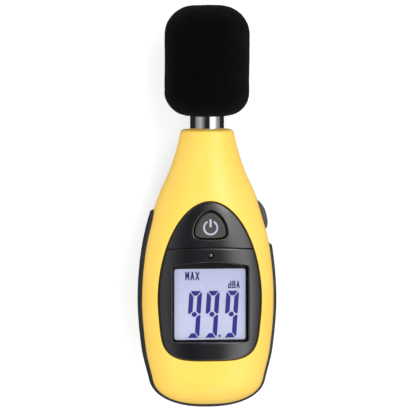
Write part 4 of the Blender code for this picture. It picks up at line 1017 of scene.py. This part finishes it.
def annunciator(bm, word, low, high, thick, z):
    """A short word on the display, fitted between two corners, in strokes with square ends."""
    cell = (high[0] - low[0]) / len(word)
    wide, tall = cell * 0.8 - thick, high[1] - low[1] - thick
    for i, letter in enumerate(word):
        corner = Vector((low[0] + cell * i + thick / 2, low[1] + thick / 2))
        strokes = [ends for path in LETTERS[letter] for ends in zip(path, path[1:])]
        for ends in strokes:
            a, b = (corner + Vector((x * wide, y * tall)) for x, y in ends)
            along = (b - a).normalized() * thick / 2
            side = Vector((-along.y, along.x))
            stroke = [a - along + side, a - along - side, b + along - side, b + along + side]
            add_slab(bm, stroke, z, z + SEGMENT_THICKNESS)


def display():
    """The lit segments on the display's glass."""
    on_glass = corners("lcd_panel")[1].z + 0.01
    bm = bmesh.new()
    outlines = [o for left in DIGIT_LEFTS for o in seven_segment(left, DIGIT_TOP, NINE)]
    for outline in [*outlines, POINT]:
        add_slab(bm, outline, on_glass, on_glass + SEGMENT_THICKNESS)
    for word, low, high, thick in WORDS:
        annunciator(bm, word, low, high, thick, on_glass)
    hang("display_segments", bm, SEGMENT, "case", slot="lcd")


def window_over_display():
    """The clear lens, and the black border printed on its underside."""
    low, high = corners("display_window")
    centre, angles = WINDOW_CENTRE, all_round(1.0)
    outer = reaches(window(LENS_OVERLAP), centre, angles)
    inner = reaches(view_outline(), centre, angles)
    bottom, upper = low.z - 0.2, low.z - 0.06
    corners_round = ((outer, bottom), (outer, upper), (inner + 0.05, upper), (inner, bottom))
    rows = [rows_round(centre, angles, reach, flat(z)) for reach, z in corners_round]
    hang("lens_border", woven([*rows, rows[0]]), MASK_INK, "case", slot="window_acrylic")

    bm = bmesh.new()
    add_slab(bm, window(LENS_OVERLAP), low.z, high.z, 0.12)
    lens = hang("window_lens", bm, CLEAR, "case", ["display_window"], "window_acrylic")
    lens.visible_shadow = False


display()
window_over_display()


# -------- keys


def key_top(x, y):
    """The power key's top: it follows the bezel's dome and is dished a little for the finger."""
    away = math.hypot(x, y - POWER_SIGN_Y) / POWER_KEY_DISH_RADIUS
    dish = POWER_KEY_DISH * max(1 - away**2, 0) ** 2
    return front_z(x, y, BEZEL_PROUD + POWER_KEY_PROUD) - dish


def power_key():
    """The front key's cap on the flange that keeps it in the case."""
    low = corners("power_key")[0].z
    centre, angles = (0.0, POWER_SIGN_Y), all_round(2.0)
    outline = reaches(power_key_outline(0), centre, angles)
    step = low + POWER_KEY_FLANGE
    wide = outline + POWER_KEY_FLANGE
    rows = [
        rows_round(centre, angles, reach, flat(z))
        for reach, z in ((outline * 0, low), (wide, low), (wide, step), (outline, step))
    ]
    for inset, drop in POWER_KEY_EDGE:
        rows.append(
            rows_round(centre, angles, outline - inset, lambda x, y, d=drop: key_top(x, y) - d)
        )
    top = outline - POWER_KEY_EDGE[-1][0]
    rows += [rows_round(centre, angles, top * (1 - k / 12), key_top) for k in range(1, 13)]
    hang("power_key_cap", woven(rows), KEY_SILICONE, "power_key", ["power_key"], "key_rubber", 50.0)


def power_sign():
    """The printed ring, open at the top, with a short bar through the opening."""
    at = Vector((0.0, POWER_SIGN_Y))
    outer, inner = POWER_SIGN_RADII
    sweep = arc(90 + POWER_SIGN_OPENING, 450 - POWER_SIGN_OPENING, 48)
    ring = [at + Vector((math.cos(t), math.sin(t))) * outer for t in sweep]
    ring += [at + Vector((math.cos(t), math.sin(t))) * inner for t in reversed(sweep)]
    rise = [0.2 + k for k in range(5)]
    bar = [at + Vector((POWER_SIGN_BAR_HALF, y)) for y in rise]
    bar += [at + Vector((-POWER_SIGN_BAR_HALF, y)) for y in reversed(rise)]
    bm = bmesh.new()
    for outline in (ring, bar):
        add_slab(bm, outline, 0.0, 1.0)
    # The ink is laid on the key's dished top and reaches a little into it.
    over, under = 0.05, 0.15
    for v in bm.verts:
        v.co.z = key_top(v.co.x, v.co.y) + (over if v.co.z > 0.5 else -under)
    hang("power_key_sign", bm, KEY_INK, "power_key", slot="key_rubber")


def side_key():
    """A lens-shaped rubber key that stands out of the case's right side."""
    face = half_width(SIDE_KEY_Y)
    slope = math.atan2(half_width(SIDE_KEY_Y - 1) - half_width(SIDE_KEY_Y + 1), 2)
    radius = (SIDE_KEY_HALF[0] ** 2 + SIDE_KEY_PROUD**2) / (2 * SIDE_KEY_PROUD)
    back = radius - SIDE_KEY_PROUD
    middle = (face - back * math.cos(slope), SIDE_KEY_Y - back * math.sin(slope))
    outline = side_key_outline(0)
    inside = corners("side_key")[0].x + 1

    def at(share, x=None, drop=0.0):
        """The outline drawn in to a share of its size, at a place in x or on the key's curve."""
        points = []
        for a, b in outline:
            y, z = SIDE_KEY_Y + a * share, SIDE_KEY_Z + b * share
            out = middle[0] + math.sqrt(max(radius**2 - (y - middle[1]) ** 2, 0)) - drop
            points.append((out if x is None else x, y, z))
        return points

    edge, edge_drop = 1 - SIDE_KEY_FLAT, 1.1
    rows = [at(0.0, inside), at(1.0, inside), at(1.0, drop=1.4)]
    for a in arc(10, 90, 7):
        rows.append(at(SIDE_KEY_FLAT + edge * math.cos(a), drop=edge_drop * (1 - math.sin(a))))
    rows += [at(SIDE_KEY_FLAT * (1 - k / 8)) for k in range(1, 9)]
    cap = woven(rows)
    hang("side_key_cap", cap, SIDE_KEY_SILICONE, "side_key", ["side_key"], "key_rubber", 50.0)


power_key()
power_sign()
side_key()


# -------- grip band


def grip_band():
    """The rubber band let into the case's sides and foot, tapering to a point at each end."""
    bend = up_from_foot(32)
    straight = bend[-1]
    left = [BAND_LEFT_TIP - (BAND_LEFT_TIP - straight) * k / 60 for k in range(60)]
    left += reversed(bend)
    right = bend[1:] + [straight + (BAND_RIGHT_TIP - straight) * k / 50 for k in range(1, 51)]
    line = [Vector((-half_width(y), y)) for y in left] + [Vector((half_width(y), y)) for y in right]
    rows = []
    turns = [2 * math.pi * k / BAND_POINTS_ROUND for k in range(BAND_POINTS_ROUND)]
    section = [
        (signed_power(math.cos(t), BAND_SQUARENESS), signed_power(math.sin(t), BAND_SQUARENESS))
        for t in turns
    ]
    for i, point in enumerate(line):
        way = (line[min(i + 1, len(line) - 1)] - line[max(i - 1, 0)]).normalized()
        out = Vector((way.y, -way.x))
        if out.dot(point - Vector((0, 60))) < 0:
            out = -out
        tip = BAND_LEFT_TIP if i < len(left) else BAND_RIGHT_TIP
        near = min((tip - point.y) / BAND_TAPER, 1)
        swell = math.sqrt(max(1 - (1 - near) ** 2, 0))
        half = BAND_TIP_HALF_HEIGHT + (BAND_HALF_HEIGHT - BAND_TIP_HALF_HEIGHT) * swell
        near_tip = min((tip - point.y) / BAND_TIP_ROUND, 1)
        tip_round = 1 - (1 - near_tip) ** 2
        half *= math.sqrt(max(tip_round, 0.01))
        side = min(max((point.y - FOOT) / BAND_SIDE_START, 0), 1)
        proud = (BAND_PROUD_AT_FOOT + BAND_PROUD_MORE_UP * side) * math.sqrt(max(tip_round, 0))
        row = []
        for across, up in section:
            depth = proud if across > 0 else BAND_SUNK
            slant = BAND_LEAN_FRONT if up > 0 else BAND_LEAN_REAR
            reach = across * depth - slant * (up * half / BAND_HALF_HEIGHT) ** 2
            row.append((*(point + out * reach), MIDLINE_Z + up * half))
        rows.append(row)
    tips = [sum((Vector(p) for p in row), Vector()) / len(row) for row in (rows[0], rows[-1])]
    first, last = ([tuple(tip)] * BAND_POINTS_ROUND for tip in tips)
    band = woven([first, *rows, last])
    hang("grip_band_sleeve", band, GRIP_ELASTOMER, "case", ["grip_band"], "grip_rubber", 50.0)


grip_band()


# -------- microphone and windscreen


def microphone():
    """The polished tube, with a flange inside the neck and a short thread at its end."""
    low, high = corners("mic_tube")
    flange = (high.x - low.x) / 2
    start, end = low.y, high.y
    shoulder = end - THREAD_LENGTH
    profile = [
        (TUBE_BORE, start),
        (TUBE_RADIUS, start),
        (TUBE_RADIUS, FLANGE_START),
        (flange, FLANGE_START),
        (flange, FLANGE_END),
        (TUBE_RADIUS, FLANGE_END),
        (TUBE_RADIUS, NECK_END - 2.0),
        (TUBE_RADIUS, NECK_END + 2.0),
        (TUBE_RADIUS, shoulder - 0.4),
        (TUBE_RADIUS - 0.12, shoulder - 0.12),
        (TUBE_RADIUS - 0.4, shoulder),
        (THREAD_CREST, shoulder),
    ]
    for k in range(5):
        at = shoulder + 0.4 + k * THREAD_PITCH
        profile += [(THREAD_CREST, at), (THREAD_ROOT, at + THREAD_PITCH / 2)]
    profile += [(THREAD_CREST, end - 0.1), (THREAD_CREST - 0.1, end), (TUBE_BORE, end)]
    hang("mic_barrel", turned(profile, 128), CHROME, "case", ["mic_tube"], "chrome", 40.0)


def foam_windscreen():
    """The foam ball: a rounded cylinder with a bore for the microphone, a little lumpy and with
    the small pits of cut cells on its surface."""
    low, high = corners("windscreen")
    radius = (high.x - low.x) / 2 - 0.15
    start, end = low.y + 0.1, high.y - 0.12
    bore, mouth, top = FOAM_BORE, FOAM_MOUTH_ROUND, FOAM_TOP_ROUND
    foot = radius - bore - mouth
    bottom = start + FOAM_BORE_DEPTH
    profile = [(0, bottom), (bore - 1, bottom), (bore, bottom - 1)]
    profile += [(bore, bottom - 1 - (FOAM_BORE_DEPTH - 2) * k / 12) for k in range(1, 13)]
    for a in arc(20, 90, 4):
        profile.append((bore + mouth * (1 - math.cos(a)), start + mouth * (1 - math.sin(a))))
    for a in arc(0, 90, 22):
        profile.append((radius - foot + foot * math.sin(a), start + foot * (1 - math.cos(a))))
    body = end - top - start - foot
    profile += [(radius, start + foot + body * k / 32) for k in range(1, 32)]
    for a in arc(0, 90, 26):
        profile.append((radius - top + top * math.cos(a), end - top + top * math.sin(a)))
    profile += [((radius - top) * (1 - k / 7), end) for k in range(1, 8)]
    bm = turned(profile, 176)

    def ripple(place, kind, shift=(0, 0, 0)):
        size, height = kind
        return noise.noise(place / size + Vector(shift)) * height

    # Lumps stand out no further than most, and the whole skin sinks to stay in the CAD box.
    most, sink = 0.1, 0.12
    for v in bm.verts:
        out = Vector((v.co.x, 0, v.co.z - MIDLINE_Z))
        if out.length < bore + 0.3 and v.co.y < bottom + 1:
            continue
        lumps = ripple(v.co, FOAM_LUMPS) + ripple(v.co, FOAM_SMALL_LUMPS, (9, 4, 2))
        pits = ripple(v.co, FOAM_PITS, (3, 1, 7))
        v.co += v.normal * (min(lumps, most) + pits - sink)
    ball = hang("foam_windscreen", bm, FOAM, "windscreen", ["windscreen"], "windscreen_foam", 180.0)


microphone()
foam_windscreen()


# -------- pieces that keep their CAD shape


def refined(name, look, body, slot, edge=0.0):
    """A copy of a CAD node with its faces joined, smooth where it is round, and with its sharp
    edges softened by edge."""
    bm = bmesh.new()
    bm.from_mesh(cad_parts[name].data)
    bmesh.ops.remove_doubles(bm, verts=bm.verts[:], dist=0.000002)
    coplanar = math.radians(1.5)
    bmesh.ops.dissolve_limit(bm, angle_limit=coplanar, verts=bm.verts[:], edges=bm.edges[:])
    made = hang_in_place(name + "_part", bm, look, body, [name], slot, 32.0)
    if edge:
        bevel = made.modifiers.new("edges", "BEVEL")
        bevel.width = edge * MM
        bevel.segments = 2
        bevel.limit_method = "ANGLE"
        bevel.angle_limit = math.radians(45)
        bevel.harden_normals = True
    return made


cut(refined("rear_case", CHARCOAL_ABS, "case", "dark_shell"), side_key_hole())
refined("battery_door", CHARCOAL_ABS, "battery_door", "dark_shell")
refined("capsule_grid", CHROME, "case", "chrome", 0.1)

# Each finish, and the CAD nodes that wear it
CARRIED = (
    (BRASS, "mic_capsule trimmer_rotor"),
    (KEY_SILICONE, "capsule_boot"),
    (SOLDER_RESIST, "preamp_board main_board"),
    (GREY_WIRE, "mic_lead"),
    (WHITE_PLASTIC, "mic_header lcd_bracket power_switch_plunger side_switch_plunger"),
    (DISPLAY, "lcd_panel"),
    (BACKLIGHT, "backlight_panel"),
    (ZEBRA_RUBBER, "zebra_strip"),
    (CHIP_EPOXY, "controller_chip amplifier_chip power_switch_base side_switch_base battery_snap"),
    (
        STEEL,
        "timing_crystal board_screw_1 board_screw_2 board_screw_3 board_screw_4 "
        "case_screw_1 case_screw_2 case_screw_3 case_screw_4",
    ),
    (BLUE_SLEEVE, "capacitor_1 capacitor_2"),
    (TRIMMER_BLUE, "trimmer_base"),
    (AMBER, "light_sensor"),
    (JACKET, "battery_9v"),
    (RED_WIRE, "battery_lead_red"),
    (BLACK_WIRE, "battery_lead_black"),
    (PAD_FOAM, "battery_pad"),
)
for look, names in CARRIED:
    for name in names.split():
        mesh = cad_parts[name].data
        mesh.materials.clear()
        mesh.materials.append(look)
